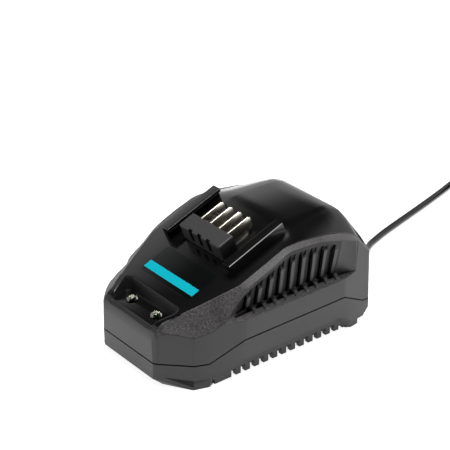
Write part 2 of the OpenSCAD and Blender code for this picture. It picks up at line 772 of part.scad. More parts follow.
module bridge_rectifier() {
    color([0.1, 0.1, 0.1]) on_board(bridge_at) translate([-bridge_t / 2, -bridge_l / 2, 0])
        cube([bridge_t, bridge_l, bridge_h]);
}

module primary_heat_sink() {
    color([0.72, 0.73, 0.75]) on_board(sink_at) translate([0, -sink_l / 2, 0]) cube([sink_t, sink_l, sink_h]);
}

module switching_transistor() {
    color([0.12, 0.12, 0.13]) on_board(sink_at) translate([-package_t, sink_l / 2 - package_w - 2, 0])
        cube([package_t, package_w, package_h]);
}

module output_heat_sink() {
    color([0.72, 0.73, 0.75]) on_board(output_sink_at) translate([-output_sink_l / 2, -sink_t, 0])
        cube([output_sink_l, sink_t, output_sink_h]);
}

module output_diode() {
    color([0.12, 0.12, 0.13]) on_board(output_sink_at) translate([-package_w / 2, 0, 0])
        cube([package_w, package_t, package_h]);
}

module terminal_block() {
    color([0.08, 0.08, 0.08]) from_middle() on_deck() translate([0, block_s0, 0]) difference() {
        union() {
            translate([-block_w / 2, 0, 0]) cube([block_w, block_l, block_h]);
            translate([-neck_w / 2 + 0.2, 1.7, -neck_depth])
                cube([neck_w - 0.4, neck_l - 0.4, neck_depth + eps]);
        }
        both_sides() for (x = [power_x, sense_x]) translate([x - blade_t / 2, block_l - 5, blade_n])
            cube([blade_t, 6, blade_h]);
    }
}

module blade(x) {
    translate([x - blade_t / 2, block_s0 + block_l - 5, blade_n]) cube([blade_t, blade_l + 5, blade_h]);
}

module power_blades() {
    color([0.8, 0.75, 0.6]) from_middle() both_sides() on_deck() blade(power_x);
}

module sense_blades() {
    color([0.8, 0.75, 0.6]) from_middle() both_sides() on_deck() blade(sense_x);
}

// Leads from the main board up to the underside of the contact block's neck.
function deck_point(x, s, n) = [x, s * cos(deck_a) - n * sin(deck_a),
    fz(deck_z0) + s * sin(deck_a) + n * cos(deck_a)];
module output_leads() {
    color([0.7, 0.1, 0.1]) from_middle() both_sides() {
        x = output_lead_at[0];
        y = output_lead_at[1];
        end = deck_point(8, block_s0 + 5, -neck_depth);
        below = deck_point(8, block_s0 + 5, -neck_depth - 3);
        bend_z = below[2] - 10;
        tube([[x, y, board_top], [x, y, (board_top + bend_z) / 2], [x - 0.6, y + 0.6, bend_z],
            [x - 4, y + 2, below[2] - 3.6], [x - 11, y + 5, below[2] - 1.2], below, end],
            output_lead_r, 8, [0, 1, 0]);
    }
}

module led_leads() {
    color([0.2, 0.2, 0.6]) from_middle() for (x = led_lead_x) {
        y0 = fy(lens_y) + 4;
        y1 = board_y0 + 3.6;
        tube([[x, y0, led_board_z], [x, y0, led_board_z - 1.4], [x, y0 + 2, led_board_z - 3],
            [x, y1 - 4.1, board_top + 5], [x, y1 - 0.6, board_top + 2.6], [x, y1, board_top + 1.4],
            [x, y1, board_top]], led_lead_r, 8, [1, 0, 0]);
    }
}

// The two cores of the cord, from its cut jacket behind the clamp to the main board.
clamp_back = 12;
clamp_y = body_l - wall - clamp_back;
clamp_w = 31;
clamp_l = 8;
jacket_end_y = clamp_y - clamp_l / 2 - 0.6;
module mains_leads() {
    color([0.25, 0.45, 0.8]) from_middle() both_sides() {
        end_y = board_y1 - 2;
        tube([[1.05, jacket_end_y, fz(exit_z)], [1.05, jacket_end_y - 1, fz(exit_z)],
            [mains_lead_x - 1.2, end_y + 1.6, fz(exit_z) + 0.2],
            [mains_lead_x - 0.2, end_y + 0.4, board_top + 1.8], [mains_lead_x, end_y, board_top + 1],
            [mains_lead_x, end_y, board_top]], mains_lead_r, 8, [1, 0, 0]);
    }
}

module inner_cord() {
    color([0.06, 0.06, 0.06]) from_middle() translate([0, body_l - wall - gland_flange_t, fz(exit_z)])
        rotate([90, 0, 0]) cylinder(r = cord_r, h = body_l - wall - gland_flange_t - jacket_end_y);
}

clamp_t = 2.4;
module cord_clamp() {
    color([0.15, 0.15, 0.16]) from_middle() translate([0, clamp_y, fz(exit_z) - cord_r]) difference() {
        translate([-clamp_w / 2, -clamp_l / 2, 0]) cube([clamp_w, clamp_l, cord_d + clamp_t]);
        translate([0, 5, cord_r]) rotate([90, 0, 0]) cylinder(r = cord_r, h = 10);
        translate([-cord_r, -5, -1]) cube([cord_d, 10, cord_r + 1]);
        both_sides() translate([clamp_screw_x, 0, -1]) cylinder(r = small_screw_r + 0.2, h = 20);
    }
}

module clamp_screws() {
    color([0.7, 0.7, 0.72]) from_middle() both_sides()
        translate([clamp_screw_x, clamp_y, fz(exit_z) + cord_r + clamp_t])
        mirror([0, 0, 1]) screw(small_screw_r, cord_d + clamp_t + 4, small_head_r, small_head_h);
}

// Moulded grommet: a flange inside the wall, a neck through it and a tapered sleeve outside.
module strain_relief() {
    tip_r = cord_r + 1;
    profile = [[0, -wall - gland_flange_t], [gland_flange_r, -wall - gland_flange_t], [gland_flange_r, -wall],
        [gland_r - 0.1, -wall], [gland_r - 0.1, 0], [gland_r + 0.6, 0], [gland_r + 0.6, relief_collar_l],
        [gland_r - 0.4, relief_collar_l + 1], [tip_r, relief_l], [0, relief_l]];
    color([0.07, 0.07, 0.07]) from_middle() translate([0, body_l, fz(exit_z)]) rotate([-90, 0, 0])
        rotate_extrude() polygon(profile);
}

module mains_cord() {
    color([0.06, 0.06, 0.06]) from_middle() tube(cord_route, cord_r, 10, [0, 0, 1]);
}

module cord_coil() {
    color([0.06, 0.06, 0.06]) from_middle() translate([coil_at[0], coil_at[1], 0]) rotate_extrude()
        translate([coil_r - bundle_w / 2, 0]) square([bundle_w, bundle_h]);
}

module cord_tail() {
    color([0.06, 0.06, 0.06]) from_middle() tube(tail_route, cord_r, 10, [0, 0, 1]);
}

// Flat two-pin plug, lying on its broad side.
module plug_body() {
    color([0.07, 0.07, 0.07]) from_middle() translate([plug_at[0], plug_at[1], 0]) {
        outline = [[0, -4], [8, -6], [16, -plug_w / 2], [plug_body_l, -plug_w / 2], [plug_body_l, plug_w / 2],
            [16, plug_w / 2], [8, 6], [0, 4]];
        linear_extrude(plug_t) polygon(outline);
    }
}

module plug_pins() {
    color([0.8, 0.8, 0.78]) from_middle() for (side = [-1, 1])
        translate([plug_at[0] + plug_body_l, plug_at[1] + side * pin_gap / 2, plug_t / 2])
        rotate([0, 90, 0]) cylinder(r = pin_r, h = pin_l);
}

upper_shell();
lower_shell();
deck_label();
rating_label();
power_lens();
charge_lens();
led_board();
leds();
led_screws();
base_screws();
main_board();
board_screws();
bulk_capacitor();
output_capacitors();
transformer_core();
transformer_winding();
line_choke();
x_capacitor();
mains_fuse();
bridge_rectifier();
primary_heat_sink();
switching_transistor();
output_heat_sink();
output_diode();
terminal_block();
power_blades();
sense_blades();
output_leads();
led_leads();
mains_leads();
inner_cord();
cord_clamp();
clamp_screws();
strain_relief();
mains_cord();
cord_coil();
cord_tail();
plug_body();
plug_pins();
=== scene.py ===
"""Dresses the battery charger: moulded housing, dock, indicator lenses, supply board and wound mains cord."""

import math

import bmesh
import bpy
from bpy.props import FloatProperty, FloatVectorProperty, IntProperty, PointerProperty
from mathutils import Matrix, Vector


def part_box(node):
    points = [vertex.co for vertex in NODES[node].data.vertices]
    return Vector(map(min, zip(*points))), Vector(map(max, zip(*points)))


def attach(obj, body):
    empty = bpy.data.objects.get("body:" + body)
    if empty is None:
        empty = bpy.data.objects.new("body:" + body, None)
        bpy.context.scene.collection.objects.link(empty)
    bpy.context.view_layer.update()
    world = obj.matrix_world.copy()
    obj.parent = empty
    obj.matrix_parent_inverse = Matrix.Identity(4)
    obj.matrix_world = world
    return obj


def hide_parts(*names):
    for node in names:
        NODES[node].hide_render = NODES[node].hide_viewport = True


bl_info = {
    "name": "Battery charger",
    "version": (1, 0, 0),
    "blender": (4, 5, 0),
    "location": "View3D > Sidebar > Charger",
    "description": "Builds the visible pieces of a slide-on battery charger around its packed model",
    "category": "Object",
}

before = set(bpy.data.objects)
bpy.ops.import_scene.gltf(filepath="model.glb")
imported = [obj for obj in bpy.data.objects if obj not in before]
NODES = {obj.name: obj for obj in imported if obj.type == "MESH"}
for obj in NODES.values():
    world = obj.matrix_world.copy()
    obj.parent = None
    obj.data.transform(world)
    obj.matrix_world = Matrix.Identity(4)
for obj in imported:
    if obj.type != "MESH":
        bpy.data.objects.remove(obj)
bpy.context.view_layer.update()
BODY = "root"
MM = 0.001

# Lengths are in millimetres, measured back from the front face and up from the table.
# The rows of a table start with the distance from the front face.
LENGTH = 127.0
HALF_LENGTH = LENGTH / 2
WALL = 2.4
DRAFT = 0.035
PLAN = [(0, 20.6), (1.3, 22.8), (14, 35.5), (21, 38.5), (40, 42.6), (105.5, 42.6), (125, 39.8), (127, 37.5)]
JOINT = [(0, 13), (21, 13), (40, 21.4), (105.5, 21.4), (121, 13), (127, 13)]

# The rebate of the joint, and the tongue that stands in it: inset from the wall and height over the joint.
REBATE_INSET, REBATE_H = 1.0, 1.8
TONGUE = [(1.2, -1.5), (1.2, 1.4), (2.2, 1.4), (2.2, -1.5)]

# The deck slopes up from a round nose.
DECK_Z, DECK_SLOPE = 31.8, 0.385
DECK_A = math.atan(DECK_SLOPE)
NOSE_R, NOSE_END = 10.0, 6.4
NOSE_Z = DECK_Z + DECK_SLOPE * NOSE_R - NOSE_R * math.sqrt(1 + DECK_SLOPE**2)


def deck(y):
    """Height of the sloping deck."""
    return DECK_Z + DECK_SLOPE * y


# Tops of the side wall, the rims and the crown; the crown is flat in the middle and falls to the rims.
WALL_TOP = [(0, 24), (0.8, 26.5), (1.3, 28.2), (3, 29.6), (6.4, 30.3), (10, 29.7), (14, 28.8), (18.5, 29.7),
            (24, 31.1), (29.5, 33.3), (114, 50.4), (117.5, 48), (121, 44), (125, 40), (127, 37.6)]
RIM_X = [(0, 19.9), (0.8, 21.1), (6.4, 21.7), (24, 28.9), (42, 35.5), (127, 35.5)]
RIM_Z = [(6.4, deck(6.4)), (50, deck(50)), (66, deck(66)), (69.5, deck(69.5)), (73, 59.1), (78, 59.2),
         (86, 58.6), (92, 57.9), (98, 57), (104, 55.8), (110, 54), (114, 52.2), (117.5, 50.1), (121, 46.5),
         (125, 42.3), (127, 40.2)]
CROWN_Z = [(6.4, deck(6.4)), (50, deck(50)), (66, deck(66)), (78, deck(78)), (82, 62.7), (86, 63), (104, 63),
           (110, 62.8), (114, 62), (117.5, 60.4), (121, 56.5), (125, 51.2), (127, 48.5)]
CROWN_FLAT, CROWN_POWER = 20.0, 1.63

# A narrow strip along the rim, crisp and grained; it ends where the seam beside the hump begins.
RIDGE_W, RIDGE_END = 0.32, 72

# The recess in each side: the edge of the ledge under it, its foot and its upper edge. The gutter before its
# foot starts at a share of the way in over the ledge.
RECESS_Y0, RECESS_Y1 = 29.5, 114.0
LEDGE_EDGE_Z = [(29.5, 33.3), (34, 32.8), (40, 32.4), (46, 31.9), (98, 31.8), (106, 32.3), (111, 32.6),
                (114, 33.2)]
RECESS_FOOT = [(29.5, 40.2, 33.6), (31.2, 40, 34.3), (34.1, 38.8, 34.8), (36.6, 37.9, 34.9),
               (38.4, 37.2, 34.8), (40.7, 36.9, 34.8), (46, 36.5, 35.1), (70, 36.5, 35.2), (98, 36.5, 34.7),
               (104, 36.5, 34.3), (109, 38, 33.9), (114, 40.7, 33.5)]
RECESS_EDGE = [(29.5, 40.3, 33.9), (31.4, 40.1, 36.1), (34, 39.6, 38.3), (36.4, 39, 40.4), (38.5, 38.7, 42.2),
               (41.2, 38.7, 44.5), (44.8, 38.9, 47.1), (50.4, 39.2, 49.9), (58, 39.4, 52.9), (62, 39.3, 54.5),
               (66, 39, 56), (69.5, 38.8, 57.4), (73, 38.9, 57.9), (78, 39.1, 57.9), (86, 39.1, 57.4),
               (92, 39.4, 56.6), (98, 40, 55.4), (104, 40.7, 54), (110, 40.8, 52.1), (114, 40.3, 50.4)]
GUTTER_START, GUTTER_DEPTH, GUTTER_Y0, GUTTER_Y1 = 0.62, 3.2, 35.0, 113.0

# Ribs stand in the recess; a blade closes each bay and leaves a slot beside the next rib.
RIB_COUNT, RIB_FIRST, RIB_PITCH, RIB_T, RIB_PROUD, RIB_BACK_X = 9, 46.0, 6.9, 2.2, 0.3, 33.0
RIB_DROP = [(46, 4.6), (73, 4), (87, 3.4), (94, 2.6), (101, 2.4)]
CAP_H, NOTCH_DEPTH, NOTCH_RISE, BAND_H = 2.6, 1.2, 1.1, 2.2
STUB = [(34.4, 30.2), (40.7, 30.2), (40.7, 33.2), (38.5, 35.2), (34.4, 35.2)]
STUB_T, STUB_SHIFT, STUB_STEP = 2.2, 2.1, 0.22
OPENING_Y0, OPENING_X = 38.2, (29.5, 42.0)
BLADE_Y0, BLADE_T, BLADE_DEPTH, BLADE_STEP, BLADE_CURVE = 37.6, 1.5, 1.6, 0.35, 1.6
BLADE_OVERLAP, BLADE_FADE, VENT_W = 0.7, 2.4, 0.9

# The tray round the lenses: floor, sides (half width and flare) and back corners (place and radius).
# The strips beside it run on at other half widths ahead of it, behind it and from HUMP_Y on.
TRAY_Z, TRAY_FRONT, TRAY_FLOOR_END, TRAY_BACK = 31.2, 1.2, 15.4, 16.5
TRAY_FLOOR_SIDE, TRAY_TOP_SIDE = (16.0, 0.26), (16.2, 0.44)
TRAY_FLOOR_CORNER, TRAY_TOP_CORNER = (12.8, 16.4, 2.6), (13.5, 18.6, 3.0)
TRAY_RUN_OUT, TRAY_RUN_OUT_END = 1.8, 6.0
TRAY_AHEAD_X, TRAY_BEHIND_X = 16.1, 18.4
HUMP_X, HUMP_Y = 18.9, 42
LENS_Y, LENS_X, LENS_R = 10.4, 10.0, 3.25
LENS_PROFILE = [(LENS_R - 0.15, 25.7), (LENS_R - 0.15, 31.25), (LENS_R, 31.35), (LENS_R, 31.55),
                (LENS_R - 0.12, 31.7), (1.95, 32.85), (1.75, 32.95), (1.4, 32.92), (0.7, 32.78), (0, 32.74)]

# Material slots of the upper housing, strips of its half section, and where along them the finish changes.
# The fourth and fifth slots are darker copies of the satin wall finish that paint shade: full in the tray, on
# the blades and in the vent openings, half on the band under the recess edge and across the nose.
SATIN, GRAINED, POLISHED, SHADED, HALF_SHADE = range(5)
LEDGE, GUTTER, RECESS_FACE, RIM, RIDGE, TRAY_EDGE, TRAY_SIDE = 1, 2, 5, 6, 7, 14, 15
NOSE_SATIN_END, NOSE_HALF_SHADE_END = 1.25, 3.1
LEDGE_GRAIN_END, RECESS_HALF_SHADE_END = 36, 104

# The dock, and the film and its band on the deck (left, front, right, back).
DOCK_W, RAIL_T, RAIL_H, LIP_W, LIP_T = 49.0, 3.0, 6.4, 2.5, 2.2
RAIL_Y0, RAIL_Y1 = 44, 78
BLOCK_Y, BLOCK_W, BLOCK_L, BLOCK_H = 48, 32.0, 10.0, 10.0
SENSE_X, POWER_X, CONTACT_T = 3.5, 10.5, 0.8
FILM = (-19.4, 22, 20.4, 40)
BAND = (-19.2, 24.6, 20.2, 29.2)

# The cord's route, from the strain relief to the coil, and the coil it is wound into.
GLAND_Z, GLAND_R = 13.0, 4.4
CORD_D = 4.0
CORD_ROUTE = [(0, 152, 13), (0, 154, 13), (-0.6, 157.5, 12), (-2.4, 161, 9.5), (-5.4, 165, 6),
              (-9, 169.5, 3.4), (-13, 174.5, 2.2), (-16.4, 180, 2), (-19, 187, 2), (-22.4, 198, 2),
              (-26, 212, 2), (-30, 228, 2), (-34.6, 246, 2), (-39, 262, 2), (-42.6, 274, 2),
              (-44.8, 283.4, 2)]
COIL_AT, COIL_R = (-20.58, 304.6), 24.0
COIL_END = [(-9.5, 332.9, 9.8), (-5, 331.9, 8.2)]
TAIL_ROUTE = [(-1, 330, 6), (3, 330, 6.2), (7, 330, 6.6), (11, 330, 7), (13, 330, 7)]
PLUG_AT, PLUG_W, PLUG_T, PLUG_L = (13.0, 330.0), 34.0, 14.0, 37.0
PIN_GAP, PIN_L, PIN_R = 19.0, 19.0, 2.0
TIE_W, TIE_A = 5.0, math.radians(-60)

# Dark patches of the room: the middle, the cosines where it starts and is full, and the light left there.
# They are the side the camera stands on, a card behind the dock and a card at the front left.
DARK_PATCHES = [((0.78, -0.63, 0.0), 0.05, 0.9, 0.03), ((-0.55, 0.5, 0.67), 0.93, 0.985, 0.05),
                ((-0.65, -0.62, 0.44), 0.65, 0.95, 0.22)]


# ------------------------------------------------------------------ sizes and colours

class ChargerSizes(bpy.types.PropertyGroup):
    edge_radius: FloatProperty(name="Edge radius", description="Rounding of the housing's edges",
                               default=0.55 * MM, min=0.1 * MM, max=1.5 * MM, unit="LENGTH", precision=5)
    joint_gap: FloatProperty(name="Joint gap", description="Gap between the two halves of the housing",
                             default=0.5 * MM, min=0.1 * MM, max=1 * MM, unit="LENGTH", precision=5)
    film_thickness: FloatProperty(name="Film thickness", description="Thickness of the film on the deck",
                                  default=0.12 * MM, min=0.05 * MM, max=0.3 * MM, unit="LENGTH", precision=5)
    grain_size: FloatProperty(name="Grain size", description="Size of the coarse grain on the rims",
                              default=0.9 * MM, min=0.2 * MM, max=2 * MM, unit="LENGTH", precision=5)
    flex_ribs: IntProperty(name="Flex ribs", description="Grooves along the strain relief", default=8,
                           min=3, max=12)


class ChargerColours(bpy.types.PropertyGroup):
    wall: FloatVectorProperty(name="Walls", description="Satin plastic of the walls", subtype="COLOR",
                              size=3, default=(0.024, 0.0234, 0.024), min=0, max=1)
    deck: FloatVectorProperty(name="Deck", description="Polished plastic of the deck and hump",
                              subtype="COLOR", size=3, default=(0.004, 0.0039, 0.004), min=0, max=1)
    grain: FloatVectorProperty(name="Grained rims", description="Grained plastic of the rims and ledges",
                               subtype="COLOR", size=3, default=(0.05, 0.047, 0.048), min=0, max=1)
    band: FloatVectorProperty(name="Label band", description="Coloured band on the deck's film",
                              subtype="COLOR", size=3, default=(0.0, 0.45, 0.55), min=0, max=1)
    cord: FloatVectorProperty(name="Cord", description="Jacket of the mains cord", subtype="COLOR",
                              size=3, default=(0.006, 0.006, 0.0065), min=0, max=1)
    board: FloatVectorProperty(name="Board", description="Solder resist of the boards", subtype="COLOR",
                               size=3, default=(0.02, 0.16, 0.06), min=0, max=1)


class ChargerStage(bpy.types.PropertyGroup):
    key_power: FloatProperty(name="Key light", description="Power of the soft light overhead",
                             default=1.6, min=0, unit="POWER")
    side_power: FloatProperty(name="Side light", description="Power of the soft lights at the sides",
                              default=0.8, min=0, unit="POWER")
    room_light: FloatProperty(name="Room light", description="Strength of the light from the room",
                              default=0.9, min=0, max=3)


# ------------------------------------------------------------------ curves and sections

def linear(table, y, column=1):
    """Value of a table at y, in straight lines between its rows."""
    if y <= table[0][0]:
        return table[0][column]
    for a, b in zip(table, table[1:]):
        if y <= b[0]:
            return a[column] + (b[column] - a[column]) * (y - a[0]) / (b[0] - a[0])
    return table[-1][column]


def smooth(table, y, column=1):
    """Value of a table at y on a curve through its rows that makes no new bumps."""
    if y <= table[0][0]:
        return table[0][column]
    if y >= table[-1][0]:
        return table[-1][column]
    steps = [(b[column] - a[column]) / (b[0] - a[0]) for a, b in zip(table, table[1:])]
    k = next(i for i in range(len(steps)) if y <= table[i + 1][0])

    def tangent(i):
        if i == 0:
            return steps[0]
        if i == len(steps):
            return steps[-1]
        a, b = steps[i - 1], steps[i]
        return 0.0 if a * b <= 0 else 2 * a * b / (a + b)

    span = table[k + 1][0] - table[k][0]
    t = (y - table[k][0]) / span
    a, b = table[k][column], table[k + 1][column]
    return (a * (1 + 2 * t) * (1 - t) ** 2 + b * t * t * (3 - 2 * t)
            + span * (tangent(k) * t * (1 - t) ** 2 - tangent(k + 1) * t * t * (1 - t)))


def half_width(y):
    return linear(PLAN, y)


def joint(y):
    return linear(JOINT, y)


def nose(y):
    return NOSE_Z + math.sqrt(max(0.0, NOSE_R**2 - (NOSE_R - y) ** 2))


def top_height(table, y):
    return nose(y) if y < NOSE_END else smooth(table, y)


def wall_x(y, z):
    return half_width(y) - DRAFT * (z - joint(y))


def rim(y):
    return min(linear(RIM_X, y), half_width(y) - 0.6), top_height(RIM_Z, y)


def between(a, b, f):
    return tuple(p + f * (q - p) for p, q in zip(a, b))


def gutter(y):
    """How far the gutter behind the ledge is sunk at y, from none to full."""
    return max(0.0, min(1.0, (y - GUTTER_Y0) / 3, (GUTTER_Y1 - y) / 4))


def side_points(y):
    """Ledge edge, gutter, recess foot and recess edge; one straight slope where there is no recess."""
    if RECESS_Y0 <= y <= RECESS_Y1:
        z = smooth(LEDGE_EDGE_Z, y)
        w = (wall_x(y, z), z)
        foot = (smooth(RECESS_FOOT, y), smooth(RECESS_FOOT, y, 2))
        v = between(w, foot, GUTTER_START)
        g, low = gutter(y), foot[1] - GUTTER_DEPTH
        return [w, v, between(between(v, foot, 1 / 3), (v[0] - 0.25, low), g),
                between(between(v, foot, 2 / 3), (foot[0] + 0.1, low), g), foot,
                (smooth(RECESS_EDGE, y), smooth(RECESS_EDGE, y, 2))]
    b = rim(y)
    z = min(smooth(WALL_TOP, y), b[1] - 0.4)
    a = (wall_x(y, z), z)
    return [between(a, b, f) for f in (0, 0.012, 0.024, 0.036, 0.048, 0.06)]


def tray_edge(y, bottom):
    """Half width of the indicator tray at its floor or at its upper edge."""
    start, flare = TRAY_FLOOR_SIDE if bottom else TRAY_TOP_SIDE
    corner_y, corner_x, r = TRAY_FLOOR_CORNER if bottom else TRAY_TOP_CORNER
    if y <= corner_y:
        return start + flare * (y - TRAY_FRONT)
    return corner_x + math.sqrt(max(0.0, r * r - (y - corner_y) ** 2))


def tray_floor(y):
    """Height of the tray's floor, which runs out softly over the nose."""
    if y > TRAY_RUN_OUT_END:
        return TRAY_Z
    k = TRAY_RUN_OUT
    a = nose(y)
    h = max(0.0, min(1.0, 0.5 + 0.5 * (TRAY_Z - a) / k))
    return TRAY_Z + (a - TRAY_Z) * h - k * h * (1 - h)


def top_section(y, lift):
    """Points of half a cross-section of the upper housing, from its foot to the middle."""
    r = rim(y)
    crown = top_height(CROWN_Z, y)
    in_tray = TRAY_FRONT <= y <= TRAY_BACK
    edge_x = tray_edge(y, False) if in_tray else (TRAY_AHEAD_X if y < TRAY_FRONT else TRAY_BEHIND_X)
    inner_x = tray_edge(min(y, TRAY_FLOOR_END), True) if in_tray else edge_x - 0.3
    inner_z = crown
    if in_tray:
        rise = 0.0 if y <= TRAY_FLOOR_END else (y - TRAY_FLOOR_END) / (TRAY_BACK - TRAY_FLOOR_END)
        inner_z = tray_floor(y) + (crown - tray_floor(y)) * rise
        inner_x = min(inner_x, edge_x - 0.02)
    slope = []
    for f in (0.9, 0.8, 0.68, 0.54, 0.4, 0.2):
        x = edge_x + f * (r[0] - edge_x) if y < HUMP_Y else HUMP_X + f * (r[0] - HUMP_X)
        u = max(0.0, (x - CROWN_FLAT) / max(1.0, r[0] - CROWN_FLAT))
        slope.append((x, crown - (crown - r[1]) * u**CROWN_POWER))
    foot = (half_width(y), joint(y) + lift)
    first = slope[0]
    slope.insert(0, (r[0] - RIDGE_W,
                     r[1] + (first[1] - r[1]) * RIDGE_W / max(0.4, r[0] - first[0])))
    return [foot] + side_points(y) + [r] + slope + [(edge_x, crown), (inner_x, inner_z), (0.0, inner_z)]


def shrunk(y, t):
    return t + y * (LENGTH - 2 * t) / LENGTH


def joint_loop(ys, inset, rise):
    """Points all round the joint, inset from the wall and raised over the parting line."""
    right = [(half_width(y) - inset, shrunk(y, inset), joint(y) + rise) for y in ys]
    return right + [(-x, y, z) for x, y, z in reversed(right)]


def inner_section(y):
    """Points of half a cross-section of the upper housing's cavity."""
    t = WALL
    side = side_points(y)
    w, foot, edge = side[0], side[4], side[5]
    r = rim(y)
    crown = top_height(CROWN_Z, y)
    limit = TRAY_Z - t if y < 19 else math.inf
    deep = gutter(y)
    points = [(half_width(y) - t, joint(y) + REBATE_H),
              between((w[0] - t, w[1] - 0.8 * t), (w[0] - t, 27.6), deep),
              between((foot[0] - t, foot[1] - 0.8 * t), (foot[0] - 4.4, 28.6), deep),
              between((edge[0] - t - 0.4, edge[1] - t), (edge[0] - 4.4, edge[1] - t), deep),
              (r[0] - 0.8 * t - 2 * deep, r[1] - t), (min(20.0, r[0] - t - 2), crown - t), (0.0, crown - t)]
    low = joint(y) + 2.4
    made = []
    for i, (x, z) in enumerate(points):
        if i > 0:
            z = max(low + 0.2 * i, min(z, limit + 0.1 * i))
        made.append((max(x, 0.0), z))
    return made


def top_stations():
    """Distances from the front at which the upper housing's cross-sections stand."""
    ys = [NOSE_R * (1 - math.cos(math.radians(a))) for a in (0, 8, 16, 24, 32, 40, 48, 56, 63)]
    ys += [TRAY_FRONT, NOSE_END, 14.4, 15.0, TRAY_FLOOR_END, 15.8, 16.1, TRAY_BACK]
    ys += [0.8, 1.3, 1.9, 2.8, 3.5, 4.3, 5.2, 8.2, 10, 11.5, 12.8, 13.6, 14, 18.5, 21, 24, 26, 28]
    ys += [RECESS_Y0, 31, 33, 35, 37, 40, 42, 44, 46, 49, 52, 55, 58, 62, 66, 67.8, 69.5, 71.2, 73, 75, 78]
    ys += [80, 82, 84, 86, 89, 92, 95, 98, 101, 104, 105.5, 107, 109, 111, 112.5, RECESS_Y1]
    ys += [115.7, 117.5, 119.2, 121, 122.4, 123.8, 125, 126, LENGTH]
    ys = sorted(set(round(y, 3) for y in ys))
    return [y for i, y in enumerate(ys) if i == 0 or y - ys[i - 1] > 0.04]


# ------------------------------------------------------------------ making objects

def link(obj):
    bpy.context.scene.collection.objects.link(obj)
    return obj


def piece(name, points, faces, materials, indices=None, smooth_angle=30):
    """A mesh object from points in millimetres, measured back from the front face."""
    mesh = bpy.data.meshes.new(name)
    mesh.from_pydata([(x * MM, (y - HALF_LENGTH) * MM, z * MM) for x, y, z in points], [], faces)
    for m in materials:
        mesh.materials.append(m)
    if indices:
        mesh.polygons.foreach_set("material_index", indices)
    obj = link(bpy.data.objects.new(name, mesh))
    tidy(obj, smooth_angle)
    return obj


def tidy(obj, smooth_angle=30, merge=0.005):
    """Merges doubled points, turns the faces outwards and marks the sharp edges."""
    bm = bmesh.new()
    bm.from_mesh(obj.data)
    if merge:
        bmesh.ops.remove_doubles(bm, verts=bm.verts, dist=merge * MM)
        bmesh.ops.dissolve_degenerate(bm, edges=bm.edges, dist=merge * MM * 0.5)
    bmesh.ops.recalc_face_normals(bm, faces=bm.faces)
    limit = math.radians(smooth_angle)
    for e in bm.edges:
        e.smooth = len(e.link_faces) == 2 and e.calc_face_angle(0) < limit
    for f in bm.faces:
        f.smooth = True
    bm.to_mesh(obj.data)
    bm.free()


def apply_modifiers(obj):
    """Replaces the mesh by what its modifiers make of it."""
    bpy.context.view_layer.update()
    dg = bpy.context.evaluated_depsgraph_get()
    mesh = bpy.data.meshes.new_from_object(obj.evaluated_get(dg))
    old = obj.data
    obj.modifiers.clear()
    obj.data = mesh
    bpy.data.meshes.remove(old)


def bevel(obj, width, angle=25, segments=2, clamp=True):
    m = obj.modifiers.new("Rounded edges", "BEVEL")
    m.width = width * MM
    m.segments = segments
    m.limit_method = "ANGLE"
    m.angle_limit = math.radians(angle)
    m.use_clamp_overlap = clamp
    m.miter_outer = "MITER_ARC"
    return m


def rounded(obj, width, angle, segments=2):
    """Rounds the edges of an object's mesh."""
    bevel(obj, width, angle, segments)
    apply_modifiers(obj)


def even_shading(obj):
    m = obj.modifiers.new("Even shading", "WEIGHTED_NORMAL")
    m.keep_sharp = True
    return m


def join(target, others):
    """Adds the meshes of other objects to the target's mesh, with their materials."""
    bm = bmesh.new()
    slots = [m.name for m in target.data.materials]
    bm.from_mesh(target.data)
    for o in others:
        start = len(bm.faces)
        bm.from_mesh(o.data)
        bm.faces.ensure_lookup_table()
        remap = []
        for m in o.data.materials:
            if m.name not in slots:
                target.data.materials.append(m)
                slots.append(m.name)
            remap.append(slots.index(m.name))
        for f in bm.faces[start:]:
            f.material_index = remap[f.material_index] if remap else 0
    bm.to_mesh(target.data)
    bm.free()
    for o in others:
        mesh = o.data
        bpy.data.objects.remove(o)
        bpy.data.meshes.remove(mesh)
    return target


def joined(name, parts, smooth_angle=35):
    """One piece made of several parts."""
    obj = join(parts[0], parts[1:])
    obj.name = name
    tidy(obj, smooth_angle, 0.001)
    return obj


def cut(obj, cutters):
    """Takes closed cutter meshes out of an object."""
    tool = join(cutters[0], cutters[1:]) if len(cutters) > 1 else cutters[0]
    m = obj.modifiers.new("Cut", "BOOLEAN")
    m.operation = "DIFFERENCE"
    m.solver = "EXACT"
    m.object = tool
    apply_modifiers(obj)
    mesh = tool.data
    bpy.data.objects.remove(tool)
    bpy.data.meshes.remove(mesh)


def prism(name, outline, z0, z1, materials, place=None):
    """A polygon drawn out from z0 to z1; place turns each point into model millimetres."""
    place = place or (lambda x, y, z: (x, y, z))
    n = len(outline)
    points = [place(x, y, z) for z in (z0, z1) for x, y in outline]
    faces = [tuple(range(n - 1, -1, -1)), tuple(range(n, 2 * n))]
    faces += [(i, (i + 1) % n, n + (i + 1) % n, n + i) for i in range(n)]
    return piece(name, points, faces, materials)


def rectangle(x0, y0, x1, y1):
    return [(x0, y0), (x1, y0), (x1, y1), (x0, y1)]


def block(name, low, high, materials, place=None):
    (x0, y0, z0), (x1, y1, z1) = low, high
    return prism(name, rectangle(x0, y0, x1, y1), z0, z1, materials, place)


